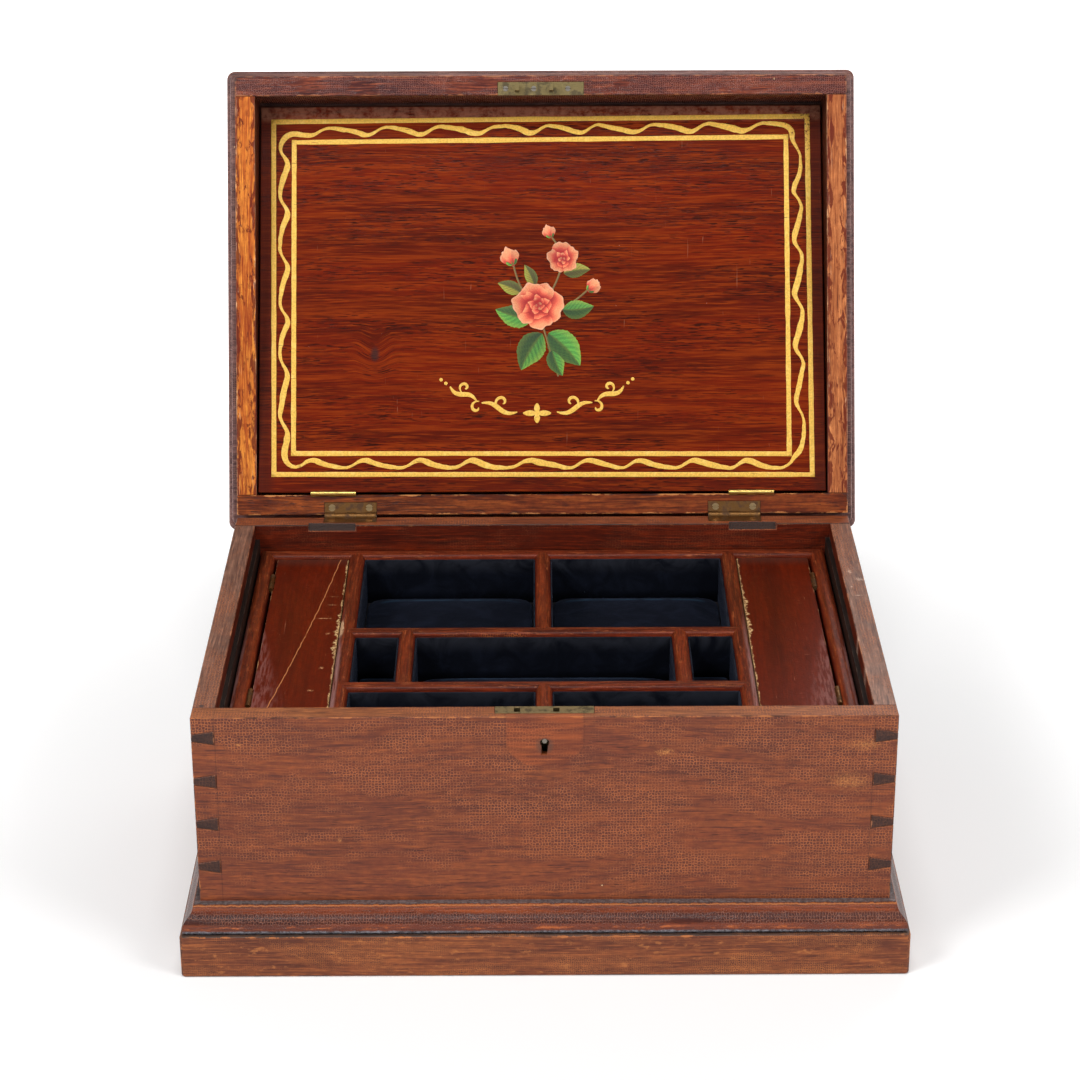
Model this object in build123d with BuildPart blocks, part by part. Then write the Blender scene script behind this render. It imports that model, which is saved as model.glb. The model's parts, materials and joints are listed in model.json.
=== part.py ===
"""Travelling writing box with a lift-out till and a document flap in its lid.

Sizes are in millimetres. X runs across the front from left to right, Y from front to back, Z up.
The origin is the centre of the box's underside. The box is modelled open: the lid leans back on its
hinges, the document flap leans back inside the lid, and the till sits in the case.
"""
import os
from math import asin, cos, degrees, hypot, pi, radians, sin

from build123d import *

# Case
case_width = 368.0
case_depth = 264.0
case_height = 150.0
wall = 12.0
bottom_thickness = 8.0
lining_thickness = 2.5
lining_drop = 9.0

# Dovetails at the corners, with the wide side of each pin on the inside of the box
pin_base = 8.0
pin_tip = 4.0
pin_pitch = 25.5
first_pin_drop = 12.0

# Plinth
skirting_height = 24.5
skirting_out = 11.0
skirting_corner = 2.5
skirting_rounding = 1.2
moulding_height = 16.3
moulding_out = 9.25
moulding_top_out = 3.0
moulding_fillet = 0.9
moulding_quirk_height = 1.6
moulding_quirk_depth = 1.6
moulding_nose = 1.5
moulding_step = 0.5
ogee_bulge = 0.75
ogee_turn_in = 0.45
ogee_turn_up = 0.48
mitre_gap = 0.1

# Lid
lid_opening = 113.0
lid_rail_height = 35.0
top_board_thickness = 10.0
top_board_out = 9.0
lower_bead_out = 6.5
lower_bead_height = 4.0
bead_corner = 5.0
bead_roundness = 0.45
rim_gap = 0.3

# Lid hinges, stop butts with their leaves flush in the two rims
hinge_spacing = 231.0
hinge_length = 31.2
hinge_leaf_reach = 7.4
hinge_leaf_thickness = 1.2
hinge_barrel_radius = 2.2
hinge_pin_radius = 0.9
hinge_axis_out = 1.0
hinge_screw_spacing = 22.4
hinge_screw_inset = 4.2

# Document flap and its hinges, whose leaves are let into the two edges that meet
flap_thickness = 7.0
flap_side_gap = 1.1
flap_free_gap = 1.1
flap_stop_gap = 0.3
flap_hinge_spacing = 251.8
flap_hinge_length = 27.2
flap_barrel_radius = 1.5
flap_axis_rise = 0.2
flap_leaf_depth = 6.0

# Edge-leaf hinges of the flap and the side lids
knuckle_count = 5
knuckle_gap = 0.15
edge_hinge_gap = 1.6
edge_leaf_thickness = 0.8
edge_pin_radius = 0.6
barrel_clearance = 0.25
bore_clearance = 0.05

# Notches in the back wall for the barrels of the flap hinges
notch_reach = 3.0
notch_drop = 4.0
notch_end_gap = 0.6

# Lock and link plate
lock_width = 51.6
lock_depth = 7.9
lock_height = 38.0
lock_plate = 1.5
lock_sheet = 1.0
lock_box_width = 43.0
lock_box_height = 33.0
slot_left = -14.3
slot_right = 6.2
slot_width = 3.3
slot_length = 4.6
keyhole_drop = 15.3
keyhole_radius = 2.45
keyhole_slot_width = 3.2
keyhole_slot_length = 7.1
drill_pin_radius = 1.3
drill_pin_recess = 2.0
lock_screw_drop = 6.4
bolt_travel = 4.5
bolt_bar_height = 4.4
bolt_bar_gap = 1.5
bolt_finger_gap = 0.3
bolt_post_width = 2.4
bolt_end = 3.0
bolt_side_gap = 0.3
talon_width = 6.0
talon_height = 2.0
link_thickness = 1.4
loop_width = 2.4
loop_depth = 3.8
loop_length = 7.0
loop_eye_width = 2.4
loop_eye_height = 2.7
loop_tip = 1.1
link_screw_places = (-21.2, -4.2, 16.3)

# Screws
hinge_screw_head = 2.1
hinge_screw_shank = 1.0
hinge_screw_length = 8.0
small_screw_head = 1.6
small_screw_shank = 0.7
small_screw_length = 5.5
screw_slot = 0.5
screw_clearance = 0.05
countersink_angle = 90.0

# Till
till_drop = 15.0
till_height = 35.0
till_floor = 4.0
till_side_gap = 0.8
till_end_gap = 1.5
rail_width = 9.0
rail_rounding = 3.5
side_compartment_width = 44.5
front_row_depth = 42.5
middle_row_depth = 59.5
small_compartment_width = 25.0
bearer_width = 6.0
bearer_height = 8.0

# Side compartment lids
side_lid_thickness = 4.0
side_lid_drop = 2.5
side_lid_end_gap = 0.4
side_lid_edge_gap = 0.5
side_hinge_spacing = 150.0
side_hinge_length = 20.0
side_barrel_radius = 1.4
side_leaf_depth = 3.2
rest_width = 4.0
rest_height = 4.0

# Velvet
velvet_thickness = 1.0
velvet_drop = 2.8
pad_gap = 0.3
pad_edge_height = 4.0
pad_crown_height = 8.0
pad_lean = 0.8
pad_end_fall = 0.8

# Worked out from the sizes above
half_width = case_width / 2
half_depth = case_depth / 2
inner_half_width = half_width - wall
inner_half_depth = half_depth - wall
wall_height = case_height - bottom_thickness
pin_count = int((wall_height - pin_base - first_pin_drop) // pin_pitch) + 1
pin_heights = [case_height - first_pin_drop - pin_pitch * i for i in range(pin_count)]
lining_top = case_height - lining_drop
lining_face = inner_half_width - lining_thickness

till_top = case_height - till_drop
till_base = till_top - till_height
till_half_width = lining_face - till_side_gap
till_half_depth = inner_half_depth - till_end_gap
till_inner_half_width = till_half_width - rail_width
till_inner_half_depth = till_half_depth - rail_width
bar_face = till_inner_half_width - side_compartment_width
bar_inner_face = bar_face - rail_width
half_rail = rail_width / 2
rounding_start = till_top - rail_rounding
front_rail_front = -till_inner_half_depth + front_row_depth
front_rail_back = front_rail_front + rail_width
back_rail_front = front_rail_back + middle_row_depth
back_rail_back = back_rail_front + rail_width
small_divider_outer = bar_inner_face - small_compartment_width
small_divider_inner = small_divider_outer - rail_width
small_divider_place = (small_divider_outer + small_divider_inner) / 2

hinge_axis_y = half_depth + hinge_axis_out
hinge_axis_z = case_height + rim_gap / 2
hinge_places = (-hinge_spacing / 2, hinge_spacing / 2)
flap_hinge_places = (-flap_hinge_spacing / 2, flap_hinge_spacing / 2)

# The lid's own frame is the box's frame carried open with the lid, measured from the hinge axis
open_angle = radians(lid_opening)
lid_frame = Plane(
    origin=(0, hinge_axis_y, hinge_axis_z),
    x_dir=(1, 0, 0),
    z_dir=(0, sin(open_angle), cos(open_angle)),
)
lid_back = -hinge_axis_out
lid_back_inner = lid_back - wall
lid_front = lid_back - case_depth
lid_front_inner = lid_front + wall
lid_rim = rim_gap / 2
lid_ceiling = lid_rim + lid_rail_height

# The flap's frame starts at its hinge axis and leans into the lid until the flap meets the top board
flap_axis_y = lid_back_inner - edge_hinge_gap / 2
flap_axis_z = lid_rim - flap_axis_rise
flap_edge = edge_hinge_gap / 2
flap_reach = flap_axis_y - lid_front_inner - flap_free_gap
flap_face = flap_axis_rise
flap_back = flap_face + flap_thickness
flap_corner_reach = hypot(flap_reach, flap_back)
flap_room = lid_ceiling - flap_stop_gap - flap_axis_z
flap_lean = asin(flap_room / flap_corner_reach) - asin(flap_back / flap_corner_reach)
flap_axis_plane = Plane(lid_frame.location * Location((0, flap_axis_y, flap_axis_z)))
flap_frame = Plane(flap_axis_plane.location * Location((0, 0, 0), (-degrees(flap_lean), 0, 0)))

# The side lids hinge at their outer edges
side_lid_top = till_top - side_lid_drop
side_lid_outer = till_inner_half_width - edge_hinge_gap
side_lid_inner = bar_face + side_lid_edge_gap
side_lid_half_depth = till_inner_half_depth - side_lid_end_gap
side_axis_x = till_inner_half_width - edge_hinge_gap / 2
side_hinge_places = (-side_hinge_spacing / 2, side_hinge_spacing / 2)

lock_face = -inner_half_depth
lock_front = lock_face - lock_depth
keyhole_z = case_height - keyhole_drop
slot_middle = lock_face - lock_depth / 2
slot_places = (slot_left, slot_right)
loop_middle = slot_middle - hinge_axis_y
loop_end = lid_rim - loop_length
eye_z = (loop_end + loop_tip, loop_end + loop_tip + loop_eye_height)


def centred(width):
    """The span of the given width about zero."""
    return (-width / 2, width / 2)


def block(frame, x_span, y_span, z_span, mode=Mode.ADD):
    """Adds or cuts a square-edged block between the limits given in a frame."""
    middle = [(low + high) / 2 for low, high in (x_span, y_span, z_span)]
    size = [high - low for low, high in (x_span, y_span, z_span)]
    with Locations(frame.location * Location(middle)):
        Box(*size, mode=mode)


def bar_along_x(frame, x_span, radius, mode=Mode.ADD):
    """Adds or cuts a round bar about the frame's X axis."""
    middle = (x_span[0] + x_span[1]) / 2
    with Locations(frame.location * Location((middle, 0, 0))):
        Cylinder(radius, x_span[1] - x_span[0], rotation=(0, 90, 0), mode=mode)


def finish_piece(piece, name):
    """Labels a finished piece and writes it."""
    piece.part.label = name
    export_step(piece.part, f"parts/{name}.step")


def pin_outlines(side, heights, mode):
    """Dovetail pins seen from the front, at one end of a board, in the open sketch."""
    base = side * inner_half_width
    tip = side * half_width
    with Locations(*[(0, height) for height in heights]):
        Polygon(
            (base, -pin_base / 2),
            (tip, -pin_tip / 2),
            (tip, pin_tip / 2),
            (base, pin_base / 2),
            mode=mode,
        )


def tail_board(frame, low, high, heights):
    """A full-width board with a socket at each end for every pin, from the frame's plane out."""
    with BuildSketch(frame) as outline:
        with Locations((0, (low + high) / 2)):
            Rectangle(case_width, high - low)
        pin_outlines(-1, heights, Mode.SUBTRACT)
        pin_outlines(1, heights, Mode.SUBTRACT)
    extrude(outline.sketch, amount=wall)


def pin_board(frame, side, y_middle, low, high, heights):
    """A side board that fits between two tail boards, with its pins running out through them."""
    x_span = sorted((side * inner_half_width, side * half_width))
    y_span = (y_middle - inner_half_depth, y_middle + inner_half_depth)
    block(frame, x_span, y_span, (low, high))
    section = Plane(frame.location * Location((0, y_middle, 0)) * Plane.XZ.location)
    with BuildSketch(section) as outline:
        pin_outlines(side, heights, Mode.ADD)
    extrude(outline.sketch, amount=half_depth, both=True)


def screw(frame, head, shank, length):
    """A slotted countersunk screw, its head flush with the frame's plane."""
    head_height = head - shank
    with Locations(frame.location * Location((0, 0, -length / 2))):
        Cylinder(shank, length)
    with Locations(frame.location * Location((0, 0, -head_height / 2))):
        Cone(shank, head, head_height)
    block(frame, centred(2 * head), centred(screw_slot), (-screw_slot, 0), Mode.SUBTRACT)


def screw_hole(frame, head, shank, length):
    """The countersunk hole that a screw fits."""
    with Locations(frame.location):
        CounterSinkHole(
            shank + screw_clearance,
            head + screw_clearance,
            length + screw_clearance,
            countersink_angle,
        )


def knuckle_spans(length, first):
    """Every second knuckle of a hinge, from the given one on."""
    pitch = length / knuckle_count
    starts = [pitch * i - length / 2 for i in range(first, knuckle_count, 2)]
    return [(start, start + pitch) for start in starts]


def hinge_leaf(frame, length, y_span, z_span, barrel, pin, first_knuckle):
    """A leaf with its knuckles about the frame's X axis, cut away for the other leaf's knuckles."""
    block(frame, centred(length), y_span, z_span)
    for low, high in knuckle_spans(length, 1 - first_knuckle):
        bar_along_x(frame, (low, high), barrel + barrel_clearance, Mode.SUBTRACT)
    for low, high in knuckle_spans(length, first_knuckle):
        bar_along_x(frame, (low + knuckle_gap / 2, high - knuckle_gap / 2), barrel)
    bar_along_x(frame, centred(length), pin + bore_clearance, Mode.SUBTRACT)


# Frames of the hinges and screws


def case_hinge_frame(x):
    """A lid hinge's axis with the box closed: Y towards the back, Z up."""
    return Plane(origin=(x, hinge_axis_y, hinge_axis_z))


def lid_hinge_frame(x):
    """The same axis, turned with the lid."""
    return Plane(lid_frame.location * Location((x, 0, 0)))


def turned_frame(frame, place, x_dir, z_dir):
    """A plane at a place in a frame, with its axes given in that frame."""
    return Plane(frame.location * Plane(origin=place, x_dir=x_dir, z_dir=z_dir).location)


def rail_side_hinge_frame(x):
    """A flap hinge on the lid's back rail: Y towards the flap, Z out of the lid."""
    return turned_frame(lid_frame, (x, flap_axis_y, flap_axis_z), (1, 0, 0), (0, 0, -1))


def flap_side_hinge_frame(x):
    """The same hinge, leaning with the flap."""
    return turned_frame(flap_frame, (x, 0, 0), (1, 0, 0), (0, 0, -1))


def side_hinge_frame(side, y):
    """A side lid's hinge: Y towards the middle of the box, Z up."""
    return Plane(origin=(side * side_axis_x, y, side_lid_top), x_dir=(0, side, 0), z_dir=(0, 0, 1))


def case_hinge_screw_frames():
    """Screws in the case halves of the lid hinges."""
    top = case_height
    y = half_depth - hinge_screw_inset
    spots = [x + side * hinge_screw_spacing / 2 for x in hinge_places for side in (-1, 1)]
    return [Plane(origin=(x, y, top)) for x in spots]


def lid_hinge_screw_frames():
    """Screws in the lid halves of the lid hinges, driven in from the rim."""
    y = lid_back - hinge_screw_inset
    spots = [x + side * hinge_screw_spacing / 2 for x in hinge_places for side in (-1, 1)]
    return [turned_frame(lid_frame, (x, y, lid_rim), (1, 0, 0), (0, 0, -1)) for x in spots]


def link_screw_frames():
    """Screws in the link plate."""
    y = loop_middle
    return [turned_frame(lid_frame, (x, y, lid_rim), (1, 0, 0), (0, 0, -1)) for x in link_screw_places]


def lock_screw_frames():
    """Screws in the lock's back plate, outside its box."""
    x_out = (lock_width + lock_box_width) / 4
    low = case_height - lock_box_height
    high = case_height - lock_screw_drop
    spots = [(side * x_out, z) for side in (-1, 1) for z in (low, high)]
    return [Plane(origin=(x, lock_face, z), x_dir=(1, 0, 0), z_dir=(0, 1, 0)) for x, z in spots]


def edge_screw_frames(hinge_frames, side, length, depth):
    """Two screws in each edge leaf, on the given side of the hinge."""
    frames = []
    for frame in hinge_frames:
        for x in (-length / 4, length / 4):
            place = (x, side * edge_hinge_gap / 2, -depth / 2 - flap_barrel_radius / 2)
            frames.append(turned_frame(frame, place, (1, 0, 0), (0, -side, 0)))
    return frames


rail_side_hinges = [rail_side_hinge_frame(x) for x in flap_hinge_places]
flap_side_hinges = [flap_side_hinge_frame(x) for x in flap_hinge_places]
rail_edge_screws = edge_screw_frames(rail_side_hinges, -1, flap_hinge_length, flap_leaf_depth)
flap_edge_screws = edge_screw_frames(flap_side_hinges, 1, flap_hinge_length, flap_leaf_depth)

hinge_screw_size = (hinge_screw_head, hinge_screw_shank, hinge_screw_length)
small_screw_size = (small_screw_head, small_screw_shank, small_screw_length)

# Spans across a hinge, from its axis: the fixed leaf, the moving leaf and the depth of each
fixed_edge_leaf = (-edge_hinge_gap / 2 - edge_leaf_thickness, -edge_hinge_gap / 2)
moving_edge_leaf = (edge_hinge_gap / 2, edge_hinge_gap / 2 + edge_leaf_thickness)
case_leaf_y = (-hinge_axis_out - hinge_leaf_reach, 0)
case_leaf_z = (-rim_gap / 2 - hinge_leaf_thickness, -rim_gap / 2)
lid_leaf_z = (rim_gap / 2, rim_gap / 2 + hinge_leaf_thickness)
flap_leaf_z = (-flap_leaf_depth, 0)
side_leaf_z = (-side_leaf_depth, 0)


def leaf_pocket(frame, length, y_span, z_span, barrel):
    """Cuts the seat of a leaf and the room for its barrel."""
    block(frame, centred(length), y_span, z_span, Mode.SUBTRACT)
    bar_along_x(frame, centred(length), barrel + barrel_clearance, Mode.SUBTRACT)


os.makedirs("parts", exist_ok=True)

# Case boards


def keyhole(frame, depth):
    """Cuts the keyhole from the frame's plane inwards."""
    with BuildSketch(frame) as outline:
        with Locations((0, keyhole_z)):
            Circle(keyhole_radius)
            Rectangle(keyhole_slot_width, keyhole_slot_length, align=(Align.CENTER, Align.MAX))
    extrude(outline.sketch, amount=-depth, mode=Mode.SUBTRACT)


plate_z = (case_height - lock_height, case_height)
box_z = (case_height - lock_box_height, case_height)
plate_y = (lock_face - lock_plate, lock_face)
works_y = (lock_front, lock_face - lock_plate)
selvedge_z = (case_height - lock_plate, case_height)

with BuildPart() as case_front:
    tail_board(Plane.XZ.offset(inner_half_depth), bottom_thickness, case_height, pin_heights)
    block(Plane.XY, centred(lock_width), plate_y, plate_z, Mode.SUBTRACT)
    block(Plane.XY, centred(lock_width), works_y, selvedge_z, Mode.SUBTRACT)
    block(Plane.XY, centred(lock_box_width), works_y, box_z, Mode.SUBTRACT)
    keyhole(Plane.XZ.offset(half_depth), wall)
    for place in lock_screw_frames():
        screw_hole(place, *small_screw_size)
finish_piece(case_front, "case_front")

with BuildPart() as case_back:
    tail_board(Plane.XZ.offset(-half_depth), bottom_thickness, case_height, pin_heights)
    for x in flap_hinge_places:
        half_notch = flap_hinge_length / 2 + notch_end_gap
        with BuildSketch(Plane.YZ.offset(x - half_notch)) as notch:
            Polygon(
                (inner_half_depth, case_height - notch_drop),
                (inner_half_depth + notch_reach, case_height),
                (inner_half_depth, case_height),
            )
        extrude(notch.sketch, amount=2 * half_notch, mode=Mode.SUBTRACT)
    for x in hinge_places:
        leaf_pocket(case_hinge_frame(x), hinge_length, case_leaf_y, case_leaf_z, hinge_barrel_radius)
    for place in case_hinge_screw_frames():
        screw_hole(place, *hinge_screw_size)
finish_piece(case_back, "case_back")

with BuildPart() as case_left_side:
    pin_board(Plane.XY, -1, 0, bottom_thickness, case_height, pin_heights)
finish_piece(case_left_side, "case_left_side")

with BuildPart() as case_right_side:
    pin_board(Plane.XY, 1, 0, bottom_thickness, case_height, pin_heights)
finish_piece(case_right_side, "case_right_side")

with BuildPart() as case_bottom:
    with BuildSketch(Plane.XY):
        Rectangle(case_width, case_depth)
    extrude(amount=bottom_thickness)
finish_piece(case_bottom, "case_bottom")

# Plinth: skirting boards with mitred corners, and ogee moulding strips on top of them


def keep_plinth_side(x_dir, y_dir, height, gap):
    """Keeps what lies between the two mitres of one side, outside the case."""
    across = half_width if x_dir == 0 else half_depth
    outwards = half_depth if x_dir == 0 else half_width
    reach = skirting_out + moulding_out
    side = Plane(origin=(0, 0, 0), x_dir=(-y_dir, x_dir, 0), z_dir=(0, 0, 1))
    with BuildSketch(side) as wedge:
        Polygon(
            (gap - across, -outwards),
            (across - gap, -outwards),
            (across - gap + reach, -outwards - reach),
            (gap - across - reach, -outwards - reach),
        )
    extrude(wedge.sketch, amount=height, mode=Mode.INTERSECT)


def skirting_ring():
    """The whole skirting, softly rounded at its corners and along its outer edges."""
    with BuildPart() as ring:
        with BuildSketch(Plane.XY):
            RectangleRounded(case_width + 2 * skirting_out, case_depth + 2 * skirting_out, skirting_corner)
        extrude(amount=skirting_height)
        fillet(ring.faces().filter_by(Axis.Z).edges(), skirting_rounding)
        with BuildSketch(Plane.XY):
            Rectangle(case_width, case_depth)
        extrude(amount=skirting_height, mode=Mode.SUBTRACT)
    return ring.part


def skirting_board(name, x_dir, y_dir):
    """One mitred skirting board, named after its side."""
    with BuildPart() as board:
        add(skirting)
        keep_plinth_side(x_dir, y_dir, skirting_height, 0)
    finish_piece(board, name)


skirting = skirting_ring()
skirting_board("plinth_front_board", 0, -1)
skirting_board("plinth_back_board", 0, 1)
skirting_board("plinth_left_board", -1, 0)
skirting_board("plinth_right_board", 1, 0)

# The ogee runs from its nose up to a narrow flat top, first convex and then hollow
ogee_start = (moulding_out, moulding_quirk_height + moulding_nose)
ogee_end = (moulding_top_out + moulding_step, moulding_height - moulding_fillet)
ogee_turn = (
    ogee_start[0] + (ogee_end[0] - ogee_start[0]) * ogee_turn_in,
    ogee_start[1] + (ogee_end[1] - ogee_start[1]) * ogee_turn_up,
)


def moulding_strip(x_dir, y_dir):
    """One strip of the moulding, in the open part."""
    across = half_width if x_dir == 0 else half_depth
    outwards = half_depth if x_dir == 0 else half_width
    length = 2 * (across + moulding_out)
    foot = Vector(x_dir * outwards, y_dir * outwards, skirting_height)
    along = Vector(y_dir, -x_dir, 0)
    section = Plane(origin=foot - along * (length / 2), x_dir=(x_dir, y_dir, 0), z_dir=along)
    with BuildSketch(section) as profile:
        with BuildLine():
            quirk_out = moulding_out - moulding_quirk_depth
            Polyline(
                (0, moulding_height),
                (0, 0),
                (quirk_out, 0),
                (quirk_out, moulding_quirk_height),
                (moulding_out, moulding_quirk_height),
                ogee_start,
            )
            SagittaArc(ogee_start, ogee_turn, -ogee_bulge)
            SagittaArc(ogee_turn, ogee_end, ogee_bulge)
            Polyline(
                ogee_end,
                (moulding_top_out, moulding_height - moulding_fillet),
                (moulding_top_out, moulding_height),
                (0, moulding_height),
            )
        make_face()
    extrude(profile.sketch, amount=length)


moulding_strips = []
for x_dir, y_dir in ((0, -1), (1, 0), (0, 1), (-1, 0)):
    with BuildPart() as strip:
        moulding_strip(x_dir, y_dir)
        keep_plinth_side(x_dir, y_dir, skirting_height + moulding_height, mitre_gap / 2)
    moulding_strips.append(strip.part)

with BuildPart() as plinth_moulding:
    add(moulding_strips)
finish_piece(plinth_moulding, "plinth_moulding")

# Linings of the two sides, and the bearers that carry the till


def side_lining(name, side):
    """A thin board against one side wall."""
    with BuildPart() as lining:
        x_span = sorted((side * inner_half_width, side * lining_face))
        block(Plane.XY, x_span, centred(2 * inner_half_depth), (bottom_thickness, lining_top))
    finish_piece(lining, name)


side_lining("side_lining_left", -1)
side_lining("side_lining_right", 1)

with BuildPart() as till_bearers:
    for side in (-1, 1):
        x_span = sorted((side * lining_face, side * (lining_face - bearer_width)))
        block(Plane.XY, x_span, centred(2 * inner_half_depth), (till_base - bearer_height, till_base))
finish_piece(till_bearers, "till_bearers")

# Box lock: a plate, a top plate with two slots and a thin box that holds the bolt

cavity_z = (case_height - lock_box_height + lock_sheet, case_height - lock_plate)
cavity_y = (lock_front + lock_sheet, lock_face - lock_plate)

with BuildPart() as lock_case:
    block(Plane.XY, centred(lock_width), plate_y, plate_z)
    block(Plane.XY, centred(lock_width), (lock_front, lock_face), selvedge_z)
    block(Plane.XY, centred(lock_box_width), works_y, box_z)
    block(Plane.XY, centred(lock_box_width - 2 * lock_sheet), cavity_y, cavity_z, Mode.SUBTRACT)
    for x in slot_places:
        slot_x = (x - slot_width / 2, x + slot_width / 2)
        slot_y = (slot_middle - slot_length / 2, slot_middle + slot_length / 2)
        block(Plane.XY, slot_x, slot_y, selvedge_z, Mode.SUBTRACT)
    keyhole(Plane.XZ.offset(-lock_front), lock_sheet)
    for place in lock_screw_frames():
        screw_hole(place, *small_screw_size)
finish_piece(lock_case, "lock_case")

with BuildPart() as lock_drill_pin:
    with BuildSketch(Plane.XZ.offset(-works_y[1])):
        with Locations((0, keyhole_z)):
            Circle(drill_pin_radius)
    extrude(amount=half_depth + works_y[1] - drill_pin_recess)
finish_piece(lock_drill_pin, "lock_drill_pin")

with BuildPart() as lock_bolt:
    bar_y = (cavity_y[0] + bolt_side_gap, cavity_y[1] - bolt_side_gap)
    bar_top = hinge_axis_z + loop_end - bolt_bar_gap
    bar_z = (bar_top - bolt_bar_height, bar_top)
    finger_half = loop_eye_width / 2 - bolt_finger_gap
    finger_y = (slot_middle - finger_half, slot_middle + finger_half)
    finger_z = (hinge_axis_z + eye_z[0] + bolt_finger_gap, hinge_axis_z + eye_z[1] - bolt_finger_gap)
    post_reach = loop_width / 2 + bolt_travel + bolt_finger_gap
    bolt_low = slot_left + post_reach - bolt_end
    bolt_high = slot_right + post_reach + bolt_post_width + bolt_end
    block(Plane.XY, (bolt_low, bolt_high), bar_y, bar_z)
    for x in slot_places:
        post_low = x + post_reach
        block(Plane.XY, (post_low, post_low + bolt_post_width), finger_y, (bar_top, finger_z[1]))
        block(Plane.XY, (x + slot_width / 2 + bolt_finger_gap, post_low), finger_y, finger_z)
    block(Plane.XY, centred(talon_width), bar_y, (bar_z[0], bar_z[0] + talon_height), Mode.SUBTRACT)
finish_piece(lock_bolt, "lock_bolt")

with BuildPart() as case_screws:
    for place in case_hinge_screw_frames():
        screw(place, *hinge_screw_size)
    for place in lock_screw_frames():
        screw(place, *small_screw_size)
finish_piece(case_screws, "case_screws")

# Lid hinges

with BuildPart() as hinge_case_leaves:
    for x in hinge_places:
        frame = case_hinge_frame(x)
        hinge_leaf(frame, hinge_length, case_leaf_y, case_leaf_z, hinge_barrel_radius, hinge_pin_radius, 0)
    for place in case_hinge_screw_frames():
        screw_hole(place, *hinge_screw_size)
finish_piece(hinge_case_leaves, "hinge_case_leaves")

with BuildPart() as hinge_lid_leaves:
    for x in hinge_places:
        frame = lid_hinge_frame(x)
        hinge_leaf(frame, hinge_length, case_leaf_y, lid_leaf_z, hinge_barrel_radius, hinge_pin_radius, 1)
    for place in lid_hinge_screw_frames():
        screw_hole(place, *hinge_screw_size)
finish_piece(hinge_lid_leaves, "hinge_lid_leaves")

with BuildPart() as hinge_pins:
    for x in hinge_places:
        bar_along_x(case_hinge_frame(x), centred(hinge_length), hinge_pin_radius)
finish_piece(hinge_pins, "hinge_pins")

# Lid rails, dovetailed like the case, and the top board with its two beads

lid_pin_heights = [lid_rim + lid_rail_height / 2]
lid_middle = lid_back - half_depth


def lid_section(y):
    """A plane across the lid that looks to its front, starting at a depth in the lid's frame."""
    return turned_frame(lid_frame, (0, y, 0), (1, 0, 0), (0, -1, 0))


with BuildPart() as lid_front_rail:
    tail_board(lid_section(lid_front_inner), lid_rim, lid_ceiling, lid_pin_heights)
    link_y = (loop_middle - lock_depth / 2, loop_middle + lock_depth / 2)
    block(lid_frame, centred(lock_width), link_y, (lid_rim, lid_rim + link_thickness), Mode.SUBTRACT)
    for place in link_screw_frames():
        screw_hole(place, *small_screw_size)
finish_piece(lid_front_rail, "lid_front_rail")

with BuildPart() as lid_back_rail:
    tail_board(lid_section(lid_back), lid_rim, lid_ceiling, lid_pin_heights)
    for x in hinge_places:
        leaf_pocket(lid_hinge_frame(x), hinge_length, case_leaf_y, lid_leaf_z, hinge_barrel_radius)
    for frame in rail_side_hinges:
        leaf_pocket(frame, flap_hinge_length, fixed_edge_leaf, flap_leaf_z, flap_barrel_radius)
    for place in lid_hinge_screw_frames():
        screw_hole(place, *hinge_screw_size)
    for place in rail_edge_screws:
        screw_hole(place, *small_screw_size)
finish_piece(lid_back_rail, "lid_back_rail")

with BuildPart() as lid_left_rail:
    pin_board(lid_frame, -1, lid_middle, lid_rim, lid_ceiling, lid_pin_heights)
finish_piece(lid_left_rail, "lid_left_rail")

with BuildPart() as lid_right_rail:
    pin_board(lid_frame, 1, lid_middle, lid_rim, lid_ceiling, lid_pin_heights)
finish_piece(lid_right_rail, "lid_right_rail")


def bead_plate(low, height, out):
    """A rounded plate that stands out past the rails, its edge worked to a bead."""
    with BuildPart() as plate:
        with BuildSketch(Plane(lid_frame.location * Location((0, lid_middle, low)))):
            RectangleRounded(case_width + 2 * out, case_depth + 2 * out, bead_corner)
        extrude(amount=height)
        fillet(plate.faces().filter_by(lid_frame).edges(), height * bead_roundness)
    return plate.part


lower_bead = bead_plate(lid_ceiling, lower_bead_height, lower_bead_out)
upper_bead_low = lid_ceiling + lower_bead_height
upper_bead = bead_plate(upper_bead_low, top_board_thickness - lower_bead_height, top_board_out)

with BuildPart() as lid_top_board:
    add(lower_bead)
    add(upper_bead)
finish_piece(lid_top_board, "lid_top_board")

# Link plate with its two loops

with BuildPart() as link_plate:
    link_z = (lid_rim, lid_rim + link_thickness)
    block(lid_frame, centred(lock_width), link_y, link_z)
    for x in slot_places:
        loop_x = (x - loop_width / 2, x + loop_width / 2)
        loop_y = (loop_middle - loop_depth / 2, loop_middle + loop_depth / 2)
        eye_y = (loop_middle - loop_eye_width / 2, loop_middle + loop_eye_width / 2)
        block(lid_frame, loop_x, loop_y, (loop_end, lid_rim))
        block(lid_frame, loop_x, eye_y, eye_z, Mode.SUBTRACT)
    for place in link_screw_frames():
        screw_hole(place, *small_screw_size)
finish_piece(link_plate, "link_plate")

with BuildPart() as lid_screws:
    for place in lid_hinge_screw_frames():
        screw(place, *hinge_screw_size)
    for place in link_screw_frames() + rail_edge_screws:
        screw(place, *small_screw_size)
finish_piece(lid_screws, "lid_screws")

# Document flap and its hinges

flap_half_width = inner_half_width - flap_side_gap

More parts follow.
